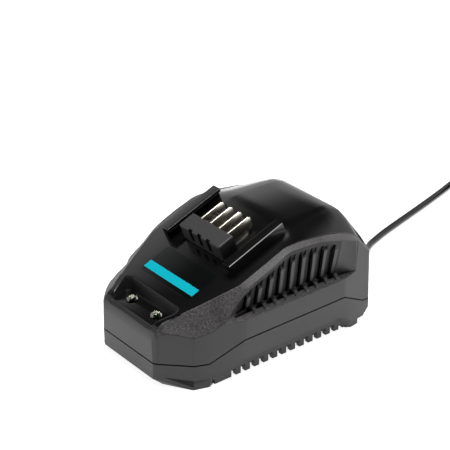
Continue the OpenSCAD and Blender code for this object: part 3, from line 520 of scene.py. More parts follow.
def turned(name, profile, materials, place, sides=48, picks=None):
    """A profile of (radius, height) turned round the local z axis; place gives model millimetres."""
    points, faces, indices = [], [], []
    rows = []
    for r, h in profile:
        if r < 1e-6:
            rows.append([len(points)])
            points.append(place(0, 0, h))
        else:
            rows.append(list(range(len(points), len(points) + sides)))
            points += [place(r * math.cos(2 * math.pi * k / sides), r * math.sin(2 * math.pi * k / sides), h)
                       for k in range(sides)]
    for j, (a, b) in enumerate(zip(rows, rows[1:])):
        for k in range(sides):
            q = (k + 1) % sides
            face = [a[0]] if len(a) == 1 else [a[k], a[q]]
            face += [b[0]] if len(b) == 1 else [b[q], b[k]]
            if len(set(face)) > 2:
                faces.append(tuple(face))
                indices.append(picks[j] if picks else 0)
    for ring, pick in ((rows[0], 0), (rows[-1], -1)):
        if len(ring) > 1:
            faces.append(tuple(ring))
            indices.append(picks[pick] if picks else 0)
    return piece(name, points, faces, materials, indices)


def round_corners(outline, r, steps=5):
    """The outline with each corner replaced by an arc."""
    made = []
    n = len(outline)
    for i in range(n):
        p, a, b = (Vector(outline[i]), Vector(outline[i - 1]), Vector(outline[(i + 1) % n]))
        u, v = (a - p).normalized(), (b - p).normalized()
        half = math.acos(max(-1.0, min(1.0, u.dot(v)))) / 2
        d = min(r / math.tan(half), (a - p).length * 0.49, (b - p).length * 0.49)
        rr = d * math.tan(half)
        c = p + (u + v).normalized() * (rr / math.sin(half))
        s, e = p + u * d - c, p + v * d - c
        turn = s.angle_signed(e)
        for k in range(steps + 1):
            w = -turn * k / steps
            made.append((c.x + s.x * math.cos(w) - s.y * math.sin(w),
                         c.y + s.x * math.sin(w) + s.y * math.cos(w)))
    return made


def on_deck(x, s, n):
    """A place across the deck, up its slope and square to it, in model millimetres."""
    return (x, s * math.cos(DECK_A) - n * math.sin(DECK_A),
            DECK_Z + s * math.sin(DECK_A) + n * math.cos(DECK_A))


def up_deck(y):
    return y / math.cos(DECK_A)


def settle(obj, slot, *nodes):
    """The piece rides on the body and stands for CAD nodes, which it hides; the slot is not used."""
    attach(obj, BODY)
    if nodes:
        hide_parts(*nodes)
    return obj


def dress(node, material, radius=0.0, angle=40, segments=2):
    """Gives a CAD node its material and, with a radius, rounded edges."""
    obj = NODES[node]
    obj.data.materials.clear()
    obj.data.materials.append(material)
    if radius:
        weld = obj.modifiers.new("Weld", "WELD")
        weld.merge_threshold = 0.002 * MM
        flat = obj.modifiers.new("Flat faces", "DECIMATE")
        flat.decimate_type = "DISSOLVE"
        flat.angle_limit = math.radians(2)
        bevel(obj, radius, angle, segments)
        even_shading(obj)
    return obj


# ------------------------------------------------------------------ finishes

def new_group(name, inputs, outputs):
    group = bpy.data.node_groups.new(name, "ShaderNodeTree")
    for label, kind, default in inputs:
        s = group.interface.new_socket(name=label, in_out="INPUT", socket_type=kind)
        s.default_value = default
    for label, kind in outputs:
        group.interface.new_socket(name=label, in_out="OUTPUT", socket_type=kind)
    return group, group.nodes.new("NodeGroupInput"), group.nodes.new("NodeGroupOutput")


def node(tree, kind, **settings):
    n = tree.nodes.new(kind)
    for key, value in settings.items():
        if key.startswith("in_"):
            n.inputs[key[3:].replace("_", " ")].default_value = value
        else:
            setattr(n, key, value)
    return n


def math_node(tree, operation, a, b=None, clamp=False):
    n = node(tree, "ShaderNodeMath", operation=operation, use_clamp=clamp)
    for i, v in enumerate((a, b)):
        if v is None:
            continue
        if isinstance(v, (int, float)):
            n.inputs[i].default_value = v
        else:
            tree.links.new(v, n.inputs[i])
    return n.outputs[0]


def mix_colour(tree, factor, a, b, blend="MIX"):
    n = node(tree, "ShaderNodeMix", data_type="RGBA", blend_type=blend)
    for socket, v in ((n.inputs[0], factor), (n.inputs[6], a), (n.inputs[7], b)):
        if hasattr(v, "is_linked"):
            tree.links.new(v, socket)
        elif isinstance(v, (int, float)):
            socket.default_value = v
        else:
            socket.default_value = (*v[:3], 1)
    return n.outputs[2]


def noise(tree, vector, scale, detail=2.0, roughness=0.5):
    n = node(tree, "ShaderNodeTexNoise", in_Scale=scale, in_Detail=detail, in_Roughness=roughness)
    tree.links.new(vector, n.inputs["Vector"])
    return n.outputs["Fac"]


def build_mould_grain():
    """Spark-eroded mould texture: fine pits, a slow change of tone and rubbed high spots."""
    group, source, result = new_group(
        "Mould grain",
        [("Colour", "NodeSocketColor", (0.03, 0.03, 0.03, 1)),
         ("Grain per metre", "NodeSocketFloat", 1500.0), ("Depth", "NodeSocketFloat", 0.5),
         ("Roughness", "NodeSocketFloat", 0.5), ("Tone change", "NodeSocketFloat", 0.1)],
        [("Colour", "NodeSocketColor"), ("Roughness", "NodeSocketFloat"), ("Height", "NodeSocketFloat")])
    place = group.nodes.new("ShaderNodeTexCoord").outputs["Object"]
    pits = node(group, "ShaderNodeTexNoise", in_Detail=3.0, in_Roughness=0.6)
    group.links.new(place, pits.inputs["Vector"])
    group.links.new(source.outputs["Grain per metre"], pits.inputs["Scale"])
    patches = noise(group, place, 60.0, 3.0)
    fine = math_node(group, "SUBTRACT", pits.outputs["Fac"], 0.5)
    slow = math_node(group, "SUBTRACT", patches, 0.5)
    uneven = math_node(group, "ADD", fine, math_node(group, "MULTIPLY", slow, 0.4))
    tone = math_node(group, "MULTIPLY", uneven, source.outputs["Tone change"])
    light = mix_colour(group, 1.0, source.outputs["Colour"], (2.2, 2.15, 2.15), "MULTIPLY")
    dark = mix_colour(group, 1.0, source.outputs["Colour"], (0.45, 0.45, 0.45), "MULTIPLY")
    shade = math_node(group, "ADD", 0.36, tone, True)
    group.links.new(mix_colour(group, shade, dark, light), result.inputs["Colour"])
    wear = math_node(group, "ADD", math_node(group, "MULTIPLY", fine, 0.18),
                     math_node(group, "MULTIPLY", slow, 0.14))
    rough = math_node(group, "ADD", source.outputs["Roughness"], wear, True)
    group.links.new(rough, result.inputs["Roughness"])
    height = math_node(group, "MULTIPLY", pits.outputs["Fac"], source.outputs["Depth"])
    group.links.new(height, result.inputs["Height"])
    return group


def build_smudges():
    """Faint smears and specks of dust that change the gloss of a smooth surface."""
    group, source, result = new_group(
        "Smudges",
        [("Colour", "NodeSocketColor", (0.02, 0.02, 0.02, 1)), ("Roughness", "NodeSocketFloat", 0.2),
         ("Amount", "NodeSocketFloat", 0.5)],
        [("Colour", "NodeSocketColor"), ("Roughness", "NodeSocketFloat")])
    place = group.nodes.new("ShaderNodeTexCoord").outputs["Object"]
    smear = math_node(group, "SUBTRACT", noise(group, place, 45.0, 4.0, 0.6), 0.42, True)
    speck = math_node(group, "GREATER_THAN", noise(group, place, 2600.0, 1.0), 0.79)
    smear = math_node(group, "MULTIPLY", math_node(group, "MULTIPLY", smear, 0.5), source.outputs["Amount"])
    rough = math_node(group, "ADD", source.outputs["Roughness"], smear, True)
    group.links.new(rough, result.inputs["Roughness"])
    dust = math_node(group, "MULTIPLY", math_node(group, "MULTIPLY", speck, 0.06), source.outputs["Amount"])
    dusty = mix_colour(group, dust, source.outputs["Colour"], (0.5, 0.48, 0.45))
    group.links.new(dusty, result.inputs["Colour"])
    return group


GROUPS = {}


def use_group(tree, name, build, **values):
    if name not in GROUPS:
        GROUPS[name] = build()
    n = tree.nodes.new("ShaderNodeGroup")
    n.node_tree = GROUPS[name]
    for key, value in values.items():
        socket = n.inputs[key.replace("_", " ")]
        socket.default_value = (*value[:3], 1) if socket.type == "RGBA" else value
    return n


def new_material(name, colour=(0.5, 0.5, 0.5), roughness=0.5, metallic=0.0, **constants):
    if name in bpy.data.materials:
        return bpy.data.materials[name], None, None
    m = bpy.data.materials.new(name)
    m.use_nodes = True
    m.diffuse_color = (*colour[:3], 1)
    tree = m.node_tree
    shader = tree.nodes["Principled BSDF"]
    shader.inputs["Base Color"].default_value = (*colour[:3], 1)
    shader.inputs["Roughness"].default_value = roughness
    shader.inputs["Metallic"].default_value = metallic
    for key, value in constants.items():
        shader.inputs[key.replace("_", " ")].default_value = value
    return m, tree, shader


def add_bump(tree, shader, height, strength, distance):
    b = node(tree, "ShaderNodeBump", in_Strength=strength, in_Distance=distance * MM)
    tree.links.new(height, b.inputs["Height"])
    tree.links.new(b.outputs["Normal"], shader.inputs["Normal"])


def moulded(name, colour, roughness, grain_mm, depth, tone, bump=0.5, **constants):
    """Plastic from a textured mould."""
    m, tree, shader = new_material(name, colour, roughness, **constants)
    if tree:
        g = use_group(tree, "Mould grain", build_mould_grain, Colour=colour,
                      Grain_per_metre=1.0 / (grain_mm * MM), Depth=depth, Roughness=roughness,
                      Tone_change=tone)
        tree.links.new(g.outputs["Colour"], shader.inputs["Base Color"])
        tree.links.new(g.outputs["Roughness"], shader.inputs["Roughness"])
        add_bump(tree, shader, g.outputs["Height"], bump, grain_mm * 0.35)
    return m


def smudged(name, colour, roughness, amount, **constants):
    """A new material with faint smudges, its tree and its shader."""
    m, tree, shader = new_material(name, colour, roughness, **constants)
    if tree:
        g = use_group(tree, "Smudges", build_smudges, Colour=colour, Roughness=roughness, Amount=amount)
        tree.links.new(g.outputs["Colour"], shader.inputs["Base Color"])
        tree.links.new(g.outputs["Roughness"], shader.inputs["Roughness"])
    return m, tree, shader


def polished(name, colour, roughness, amount=0.5, **constants):
    """Smooth moulded plastic or rubber with faint smudges."""
    return smudged(name, colour, roughness, amount, **constants)[0]


def crowned(name, colour, roughness, amount, **constants):
    """Glossy finish with faint smudges, on a surface that falls away slightly towards both rims."""
    m, tree, shader = smudged(name, colour, roughness, amount, **constants)
    if tree:
        split = node(tree, "ShaderNodeSeparateXYZ")
        tree.links.new(node(tree, "ShaderNodeTexCoord").outputs["Object"], split.inputs[0])
        square = math_node(tree, "MULTIPLY", split.outputs["X"], split.outputs["X"])
        add_bump(tree, shader, math_node(tree, "MULTIPLY", square, -1.74), 1.0, 1000.0)
    return m


def drawn_metal(name, colour, roughness, stretch=(1, 1, 0.05), scale=1800.0):
    """Plated or rolled metal with fine drawing lines."""
    m, tree, shader = new_material(name, colour, roughness, 1.0)
    if tree:
        place = node(tree, "ShaderNodeTexCoord").outputs["Object"]
        mapping = node(tree, "ShaderNodeMapping", in_Scale=stretch)
        tree.links.new(place, mapping.inputs["Vector"])
        lines = noise(tree, mapping.outputs["Vector"], scale, 2.0)
        spots = noise(tree, place, 160.0, 2.0)
        rough = math_node(tree, "ADD", roughness - 0.1, math_node(tree, "MULTIPLY", lines, 0.2), True)
        tree.links.new(rough, shader.inputs["Roughness"])
        dull = tuple(c * 0.72 for c in colour)
        tree.links.new(mix_colour(tree, spots, dull, colour), shader.inputs["Base Color"])
        add_bump(tree, shader, lines, 0.12, 0.05)
    return m


def colours():
    return bpy.context.scene.charger_colours


def sizes():
    return bpy.context.scene.charger_sizes


def wall_finish(name, share, roughness=0.45, **constants):
    """Satin plastic with a share of the walls' colour."""
    return moulded(name, tuple(c * share for c in colours().wall), roughness, 0.22, 0.5, 0.35, 0.12,
                   **constants)


def wall_plastic():
    return wall_finish("Satin wall plastic", 1, 0.42)


# Half the walls' colour: painted shade, for the tray's walls, the blades in the bays and the faces of the
# vent openings.
def shade_painted_plastic():
    return wall_finish("Shaded plastic", 0.5, Specular_IOR_Level=0.16)


# Three quarters of the walls' colour: painted half shade, on the band under each recess edge and across the
# nose.
def half_shade_painted_plastic():
    return wall_finish("Half shade painted plastic", 0.75, Specular_IOR_Level=0.26)


def grained_plastic():
    return moulded("Grained rim plastic", colours().grain, 0.55, sizes().grain_size / MM, 1.0, 2.4, 0.8)


def deck_plastic():
    return crowned("Polished deck plastic", colours().deck, 0.11, 0.2)


def cord_jacket():
    return polished("Cord jacket", colours().cord, 0.16, 0.3, Specular_IOR_Level=0.3, Coat_Weight=0.3,
                    Coat_Roughness=0.05)


# ------------------------------------------------------------------ housing

def top_finishes():
    """The upper housing's materials, in the order of its slots."""
    return [wall_plastic(), grained_plastic(), deck_plastic(), shade_painted_plastic(), half_shade_painted_plastic()]


def finish_of(strip, y):
    """Slot of a face that starts at y; strips of the half section count up from the foot of the wall."""
    in_recess = RECESS_Y0 <= y < RECESS_Y1
    if strip >= RIDGE and y < NOSE_SATIN_END:
        return SATIN
    # Painted half shade across the nose behind its satin front, and on the band under the recess edge.
    if strip >= RIDGE and y < NOSE_HALF_SHADE_END or strip == RECESS_FACE and in_recess and y < RECESS_HALF_SHADE_END:
        return HALF_SHADE
    if LEDGE <= strip <= RECESS_FACE and not in_recess or strip == RIDGE and y < RIDGE_END:
        return GRAINED
    if GUTTER <= strip < RECESS_FACE and y < LEDGE_GRAIN_END:
        return GRAINED
    # Painted shade: the tray's back wall and sides take the darker shaded finish.
    if strip >= TRAY_EDGE and TRAY_FLOOR_END <= y < TRAY_BACK:
        return SHADED
    if strip == TRAY_SIDE and TRAY_FRONT < y < TRAY_BACK:
        return SHADED
    if strip in (LEDGE, RIM):
        return GRAINED
    return SATIN if strip < RIM else POLISHED


def build_top_form():
    """The upper housing as one closed moulding with its tray, side recesses, joint rebate and cavity."""
    ys = top_stations()
    lift = sizes().joint_gap / MM / 2
    n = len(ys)
    points, faces, picks = [], [], []

    def add_row(y, half):
        section = half + [(-x, z) for x, z in reversed(half[:-1])]
        points.extend((x, y, z) for x, z in section)
        return range(len(points) - len(section), len(points))

    outer = [add_row(y, top_section(y, lift)) for y in ys]
    m = len(outer[0])
    for k in range(n - 1):
        for i in range(m - 1):
            faces.append((outer[k][i], outer[k][i + 1], outer[k + 1][i + 1], outer[k + 1][i]))
            picks.append(finish_of(min(i, m - 2 - i), ys[k]))
    faces += [tuple(reversed(outer[0])), tuple(outer[-1])]

    inner = [add_row(shrunk(y, WALL), inner_section(y)) for y in ys]
    q = len(inner[0])
    for k in range(n - 1):
        for i in range(q - 1):
            faces.append((inner[k][i], inner[k + 1][i], inner[k + 1][i + 1], inner[k][i + 1]))
    faces += [tuple(inner[0]), tuple(reversed(inner[-1]))]

    loops = [[row[0] for row in outer] + [row[-1] for row in reversed(outer)]]
    for rise in (lift, REBATE_H):
        loops.append(range(len(points), len(points) + 2 * n))
        points += joint_loop(ys, REBATE_INSET, rise)
    loops.append([row[0] for row in inner] + [row[-1] for row in reversed(inner)])
    for a, b in zip(loops, loops[1:]):
        for i in range(2 * n):
            j = (i + 1) % (2 * n)
            faces.append((a[i], a[j], b[j], b[i]))
    picks += [SATIN] * (len(faces) - len(picks))
    return piece("housing_top", points, faces, top_finishes(), picks, 28)


def rib_y(i):
    return RIB_FIRST + RIB_PITCH * i


def recess_face(y, z):
    """Half width of the recess's face at a height."""
    z0, z1 = smooth(RECESS_FOOT, y, 2), smooth(RECESS_EDGE, y, 2)
    x0, x1 = smooth(RECESS_FOOT, y), smooth(RECESS_EDGE, y)
    return x0 + (x1 - x0) * (z - z0) / (z1 - z0)


def rib_top(i):
    return smooth(RECESS_EDGE, rib_y(i), 2) - linear(RIB_DROP, rib_y(i))


def build_ribs():
    """The upright ribs of both recesses, each with a sloping cap, and the stub on the ledge under it."""
    made = []
    for side in (1, -1):
        for i in range(RIB_COUNT):
            y, top = rib_y(i), rib_top(i)
            low = smooth(RECESS_FOOT, y, 2)
            front = recess_face(y, top - CAP_H) + RIB_PROUD
            notch_z = top - CAP_H + NOTCH_RISE
            rib = [(RIB_BACK_X, low), (recess_face(y, low) + RIB_PROUD, low), (front, top - CAP_H),
                   (front - NOTCH_DEPTH, notch_z), (RIB_BACK_X, notch_z)]
            for outline, shift, t in ((rib, 0, RIB_T), (STUB, STUB_SHIFT - STUB_STEP * i, STUB_T)):
                part = prism("rib", outline, -t / 2, t / 2, [wall_plastic()],
                             lambda a, b, c, s=side, y=y + shift: (s * a, y + c, b))
                rounded(part, 0.22, 30)
                tidy(part)
                made.append(part)
    return made


def grid_solid(name, near, far, materials, pick=0):
    """A closed body between two grids of points."""
    rows, columns = len(near), len(near[0])
    points = [p for row in near for p in row] + [p for row in far for p in row]
    n = rows * columns
    faces = []
    for i in range(rows - 1):
        for j in range(columns - 1):
            a = i * columns + j
            quad = (a, a + 1, a + columns + 1, a + columns)
            faces += [quad, tuple(n + k for k in reversed(quad))]
    border = [j for j in range(columns)] + [i * columns + columns - 1 for i in range(1, rows)]
    border += [(rows - 1) * columns + j for j in range(columns - 2, -1, -1)]
    border += [i * columns for i in range(rows - 2, 0, -1)]
    for a, b in zip(border, border[1:] + border[:1]):
        faces.append((a, n + a, n + b, b))
    return piece(name, points, faces, materials, [pick] * len(faces))


def build_openings():
    """Bodies to cut away where the ribs and the blades between them stand, one for each recess."""
    made = []
    y0, y1 = OPENING_Y0, rib_y(RIB_COUNT - 1) - RIB_T / 2 + 0.3
    ys = [y0 + (y1 - y0) * k / 24 for k in range(25)]
    for side in (1, -1):
        grids = []
        for x in OPENING_X:
            grids.append([[(side * x, y, smooth(RECESS_FOOT, y, 2) - 0.6) for y in ys],
                          [(side * x, y, smooth(RECESS_EDGE, y, 2) - BAND_H) for y in ys]])
        # The faces the cut leaves take the darker shaded finish: painted shade inside the openings.
        made.append(grid_solid("opening", grids[0], grids[1], top_finishes(), SHADED))
    return made


def build_blades():
    """The wall of each bay: a blade that bends inwards and leaves a slot beside the next rib."""
    made = []
    for side in (1, -1):
        for i in range(RIB_COUNT):
            y1 = rib_y(i) - RIB_T / 2
            y0 = rib_y(i - 1) + RIB_T / 2 if i else BLADE_Y0
            end = y1 - VENT_W
            stations = [(y0 + (end - y0) * k / 7, None) for k in range(8)]
            if i:
                stations = [(y0 - RIB_T, NOTCH_DEPTH), (y0 - 0.04, NOTCH_DEPTH)] + stations
            near, far = [], []
            for j in range(10):
                low, high = [], []
                for y, deep in stations:
                    foot, edge = smooth(RECESS_FOOT, y, 2), smooth(RECESS_EDGE, y, 2)
                    z = foot + (edge - BAND_H + BLADE_OVERLAP - foot) * j / 9
                    fade = max(0.0, min(1.0, (edge - BAND_H - z) / BLADE_FADE))
                    fade = fade * fade * (3 - 2 * fade)
                    if deep is None:
                        f = (y - y0) / (y1 - y0)
                        step = BLADE_STEP if i else 0.0
                        deep = step + (BLADE_DEPTH - step) * f**BLADE_CURVE
                    x = recess_face(y, max(z, foot)) - 0.03 - deep * fade
                    low.append((side * (x - BLADE_T), y, z))
                    high.append((side * x, y, z))
                near.append(low)
                far.append(high)
            # The blades take the darker shaded finish, which paints the shade in the bays between the ribs.
            made.append(grid_solid("blade", near, far, [shade_painted_plastic()]))
            if i:
                foot = smooth(RECESS_FOOT, y0, 2)
                face = recess_face(y0, foot)
                x0, x1 = sorted((side * (face - 2), side * (face + 0.25)))
                made.append(block("sill", (x0, y0 - 0.3, foot - 0.25), (x1, y0 + 2.4, foot + 0.2),
                                  [wall_plastic()]))
    return made


def build_seams():
    """Thin bodies to cut away along the line between the hump and the rims."""
    made = []
    ys = [73, 76, 80, 84, 88, 92, 96, 100, 104, 108, 112, 115, 117.5, 119.5, 121, 123, 125, 126.2, 127.6]
    for side in (1, -1):
        near, far = [], []
        for y in ys:
            x, z = rim(min(y, LENGTH))
            z -= max(0.0, y - LENGTH)
            low = z + 0.25 - 0.75 * min(1.0, (y - RIDGE_END) / 8)
            near.append([(side * (x - 0.75), y, z + 1.2), (side * (x - 0.5), y, low)])
            far.append([(side * (x + 0.15), y, z + 1.2), (side * (x - 0.1), y, low)])
        made.append(grid_solid("seam", near, far, [wall_plastic()]))
    return made


def build_rails():
    """Two undercut rails along the deck, with rounded edges."""
    made = []
    outer, inner = DOCK_W / 2 + RAIL_T, DOCK_W / 2
    profile = [(outer, -0.5), (outer, RAIL_H), (inner - LIP_W, RAIL_H), (inner - LIP_W, RAIL_H - LIP_T),
               (inner, RAIL_H - LIP_T), (inner, -0.5)]
    for side in (1, -1):
        rail = prism("rail", profile, up_deck(RAIL_Y0), up_deck(RAIL_Y1), [deck_plastic()],
                     lambda a, b, c, s=side: on_deck(s * a, c, b))
        rounded(rail, 0.5, 30)
        tidy(rail)
        made.append(rail)
    return made


def soften(top):
    """Rounds the edges of the upper housing; some of them stay crisper than the rest."""
    bm = bmesh.new()
    bm.from_mesh(top.data)
    weight = bm.edges.layers.float.new("bevel_weight_edge")

    def near(v, x, z):
        return abs(abs(v.co.x) / MM - x) < 0.03 and abs(v.co.z / MM - z) < 0.03

    def on_recess_edge(v, y):
        return RECESS_Y0 < y < RECESS_Y1 and near(v, smooth(RECESS_EDGE, y), smooth(RECESS_EDGE, y, 2))

    def on_ridge(v, y):
        return y < RIDGE_END and near(v, *rim(y))

    def at_tip(v, y):
        z = v.co.z / MM
        return abs(v.co.x) / MM > 38 and z > 31.5 and (27 < y < 35.5 or y > 110 and z < 52.5)

    for e in bm.edges:
        if len(e.link_faces) == 2 and e.calc_face_angle(0) > math.radians(14):
            e[weight] = 1.0
            for test, value in ((on_recess_edge, 0.35), (on_ridge, 0.34), (at_tip, 0.15)):
                if all(test(v, v.co.y / MM + HALF_LENGTH) for v in e.verts):
                    e[weight] = value
    bm.to_mesh(top.data)
    bm.free()
    bevel(top, sizes().edge_radius / MM, 14, 2, False).limit_method = "WEIGHT"
    apply_modifiers(top)
    tidy(top, 28)


class CHARGER_OT_housing_top(bpy.types.Operator):
    """Upper housing with deck, tray, rims, vented recesses and dock rails"""
    bl_idname = "charger.housing_top"
    bl_label = "Upper housing"

    def execute(self, context):
        top = build_top_form()
        soften(top)
        cut(top, build_openings())
        cut(top, build_seams())
        holes = []
        wall = wall_plastic()
        for side in (1, -1):
            holes.append(turned("lens hole", [(LENS_R + 0.1, 24), (LENS_R + 0.1, 34)], [wall],
                                lambda a, b, c, s=side: (s * LENS_X + a, LENS_Y + b, c)))
        s0 = up_deck(BLOCK_Y)
        holes.append(block("neck hole", (-12, s0 + 1.5, -12), (12, s0 + 8.5, 8), [wall], on_deck))
        holes.append(turned("gland hole", [(GLAND_R, LENGTH - 8), (GLAND_R, LENGTH + 5)], [wall],
                            lambda a, b, c: (a, c, GLAND_Z + b)))
        cut(top, holes)
        join(top, build_ribs() + build_blades() + build_rails())
        tidy(top, 28, 0.001)
        even_shading(top)
        settle(top, "shell_plastic", "upper_shell")
        return {"FINISHED"}


def copy_node(name, source, materials):
    """A copy of a CAD node's mesh, with its flat faces made whole."""
    mesh = NODES[source].data.copy()
    mesh.name = name
    mesh.materials.clear()
    for m in materials:
        mesh.materials.append(m)
    bm = bmesh.new()
    bm.from_mesh(mesh)
    for f in bm.faces:
        f.material_index = 0
    bmesh.ops.remove_doubles(bm, verts=bm.verts, dist=0.004 * MM)
    bmesh.ops.recalc_face_normals(bm, faces=bm.faces)
    bmesh.ops.dissolve_limit(bm, angle_limit=math.radians(1.5), verts=bm.verts, edges=bm.edges)
    bm.to_mesh(mesh)
    bm.free()
    return link(bpy.data.objects.new(name, mesh))


def hull(name, points, materials):
    """The convex body round some points."""
    obj = piece(name, points, [], materials)
    bm = bmesh.new()
    bm.from_mesh(obj.data)
    made = bmesh.ops.convex_hull(bm, input=bm.verts)
    bmesh.ops.delete(bm, geom=list(set(made["geom_interior"] + made["geom_unused"])), context="VERTS")
    bmesh.ops.dissolve_limit(bm, angle_limit=math.radians(0.5), verts=bm.verts, edges=bm.edges)
    bm.to_mesh(obj.data)
    bm.free()
    tidy(obj)
    return obj


def build_toes(materials):
    """The flared toes under both front corners of the base."""
    made = []
    points = [(20.7, 0.1, 4.0), (22.85, 1.42, 4.6), (24.6, 3.14, 5.9), (35.46, 14.02, 4.8),
              (35.46, 14.02, 2.9), (38.47, 21.04, 4.8), (38.47, 21.04, 2.9), (38.7, 22.2, 4.8),
              (38.6, 22.4, 3.0), (37.4, 24.2, 3.0), (26.6, 7.6, 2.0), (36.1, 12.7, 2.0),
              (38.9, 20.9, 2.1), (21.9, 4.6, 0.0), (25.2, 7.3, 0.0), (27.6, 8.2, 0.0),
              (35.9, 12.9, 0.0), (38.5, 20.9, 0.0), (37.2, 24.0, 0.0), (21.9, 24.0, 0.0),
              (21.9, 24.0, 3.9), (37.0, 24.0, 3.9)]
    for side in (1, -1):
        toe = hull("toe", [(side * x, y, z) for x, y, z in points], materials)
        rounded(toe, 0.18, 20)
        tidy(toe, 18)
        made.append(toe)
    return made


class CHARGER_OT_housing_base(bpy.types.Operator):
    """Lower housing with slotted skirts, feet and the tongue of the joint"""
    bl_idname = "charger.housing_base"
    bl_label = "Lower housing"

    def execute(self, context):
        wall = wall_finish("Satin base plastic", 1, 0.42)
        base = copy_node("housing_base", "lower_shell", [wall])
        drop = sizes().joint_gap / 2
        for v in base.data.vertices:
            y = v.co.y / MM + HALF_LENGTH
            if abs(v.co.z / MM - joint(y)) < 0.06:
                v.co.z -= drop
        cut(base, [block("toe room", (x0, 2, -1), (x1, 23.9, 3.0), [wall])
                   for x0, x1 in ((21.9, 44), (-44, -21.9))])
        rounded(base, 0.4, 30)
        tidy(base, 30, 0.001)
        ys = sorted({row[0] for row in PLAN + JOINT})
        points, loops, faces = [], [], []
        for inset, rise in TONGUE:
            loops.append(range(len(points), len(points) + 2 * len(ys)))
            points += joint_loop(ys, inset, rise)
        for a, b in zip(loops, loops[1:] + loops[:1]):
            for i in range(len(a)):
                j = (i + 1) % len(a)
                faces.append((a[i], a[j], b[j], b[i]))
        tongue = piece("tongue", points, faces, [wall])
        join(base, [tongue] + build_toes([wall]))
        even_shading(base)
        settle(base, "base_plastic", "lower_shell")
        return {"FINISHED"}


class CHARGER_OT_films(bpy.types.Operator):
    """Glossy film with a coloured band on the deck, and the bare film under the base"""
    bl_idname = "charger.films"
    bl_label = "Films"

    def execute(self, context):
        black = crowned("Black film", (0.003, 0.0036, 0.0034), 0.09, 0.3, Specular_IOR_Level=0.3)
        teal, tree, shader = new_material("Band colour", colours().band, 0.35, Specular_IOR_Level=0.08)
        if tree:
            place = node(tree, "ShaderNodeTexCoord").outputs["Object"]
            grain = noise(tree, place, 900.0, 2.0)
            deep = tuple(c * 0.86 for c in colours().band)
            tree.links.new(mix_colour(tree, grain, deep, colours().band), shader.inputs["Base Color"])
            add_bump(tree, shader, grain, 0.05, 0.05)
        t = sizes().film_thickness / MM
        left, front, right, back = FILM
        outline = round_corners(rectangle(left, up_deck(front), right, up_deck(back)), 1.5)
        film = prism("deck_film", outline, 0.0, t, [black, teal], on_deck)
        rounded(film, 0.06, 40, 1)
        tidy(film)
        left, front, right, back = BAND
        band = prism("band", rectangle(left, up_deck(front), right, up_deck(back)), t - 0.02, t + 0.03,
                     [teal], on_deck)
        join(film, [band])
        settle(film, "label_film", "deck_label")
        silver = drawn_metal("Silver film", (0.62, 0.62, 0.63), 0.42, (0.05, 1, 1), 900.0)
        low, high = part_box("rating_label")
        x0, x1 = low.x / MM, high.x / MM
        y0, y1 = low.y / MM + HALF_LENGTH, high.y / MM + HALF_LENGTH
        under = prism("base_film", round_corners(rectangle(x0, y0, x1, y1), 2.0), low.z / MM, high.z / MM,
                      [silver])
        settle(under, "rating_film", "rating_label")
        return {"FINISHED"}


class CHARGER_OT_lenses(bpy.types.Operator):
    """Two clear domed lenses over their indicator lamps"""
    bl_idname = "charger.lenses"
    bl_label = "Indicator lenses"

    def execute(self, context):
        clear, tree, shader = new_material("Clear lens", (1.0, 0.97, 0.9), 0.04, 0.0, IOR=1.49,
                                           Transmission_Weight=1.0)
        if tree:
            place = node(tree, "ShaderNodeTexCoord").outputs["Object"]
            add_bump(tree, shader, noise(tree, place, 300.0, 1.0), 0.04, 0.1)
        for name, source, x in (("power_lens_dome", "power_lens", -LENS_X),
                                ("charge_lens_dome", "charge_lens", LENS_X)):
            lens = turned(name, LENS_PROFILE, [clear], lambda a, b, c, x=x: (x + a, LENS_Y + b, c), 40)
            settle(lens, "clear_lens", source)
        return {"FINISHED"}


class CHARGER_OT_contacts(bpy.types.Operator):
    """Contact block of the dock with its four blades"""
    bl_idname = "charger.contacts"
    bl_label = "Contact block"

    def execute(self, context):
        plastic = moulded("Block plastic", (0.016, 0.016, 0.017), 0.42, 0.25, 0.5, 0.3, 0.15)
        front = up_deck(BLOCK_Y)
        back = front + BLOCK_L
        body = block("contact_block", (-BLOCK_W / 2, front, 0.0), (BLOCK_W / 2, back, BLOCK_H), [plastic],
                     on_deck)
        rounded(body, 0.8, 40, 3)
        pockets = []
        for x in (-POWER_X, -SENSE_X, SENSE_X, POWER_X):
            pockets.append(block("pocket", (x - 1.3, back - 2.2, 1.3), (x + 1.3, back + 1, BLOCK_H - 0.4),
                                 [plastic], on_deck))
        for x in (-7, 0, 7):
            pockets.append(block("rib gap", (x - 1.4, front - 1, 3.0), (x + 1.4, front + 1.2, BLOCK_H + 1),
                                 [plastic], on_deck))
        cut(body, pockets)
        neck = block("neck", (-11.8, front + 1.7, -6.0), (11.8, front + 8.3, 0.05), [plastic], on_deck)
        join(body, [neck])
        tidy(body, 30, 0.001)
        even_shading(body)
        settle(body, "block_plastic", "terminal_block")
        metal = drawn_metal("Tin plate", (0.78, 0.74, 0.64), 0.28, (1, 0.05, 0.05), 1500.0)
        start, tip = back - 4.5, back + 15
        side = [(start, 2.2), (tip - 1.2, 2.2), (tip, 3.2), (tip, 7.7), (tip - 1.2, 8.7), (start, 8.7)]
        for name, source, reach in (("power_contacts", "power_blades", POWER_X),
                                    ("sense_contacts", "sense_blades", SENSE_X)):
            made = []
            for x in (-reach, reach):
                blade = prism("blade", side, -CONTACT_T / 2, CONTACT_T / 2, [metal],
                              lambda p, q, c, x=x: on_deck(x + c, p, q))
                rounded(blade, 0.22, 40)
                made.append(blade)
            settle(joined(name, made, 30), "contact_metal", source)
        return {"FINISHED"}


# ------------------------------------------------------------------ cord

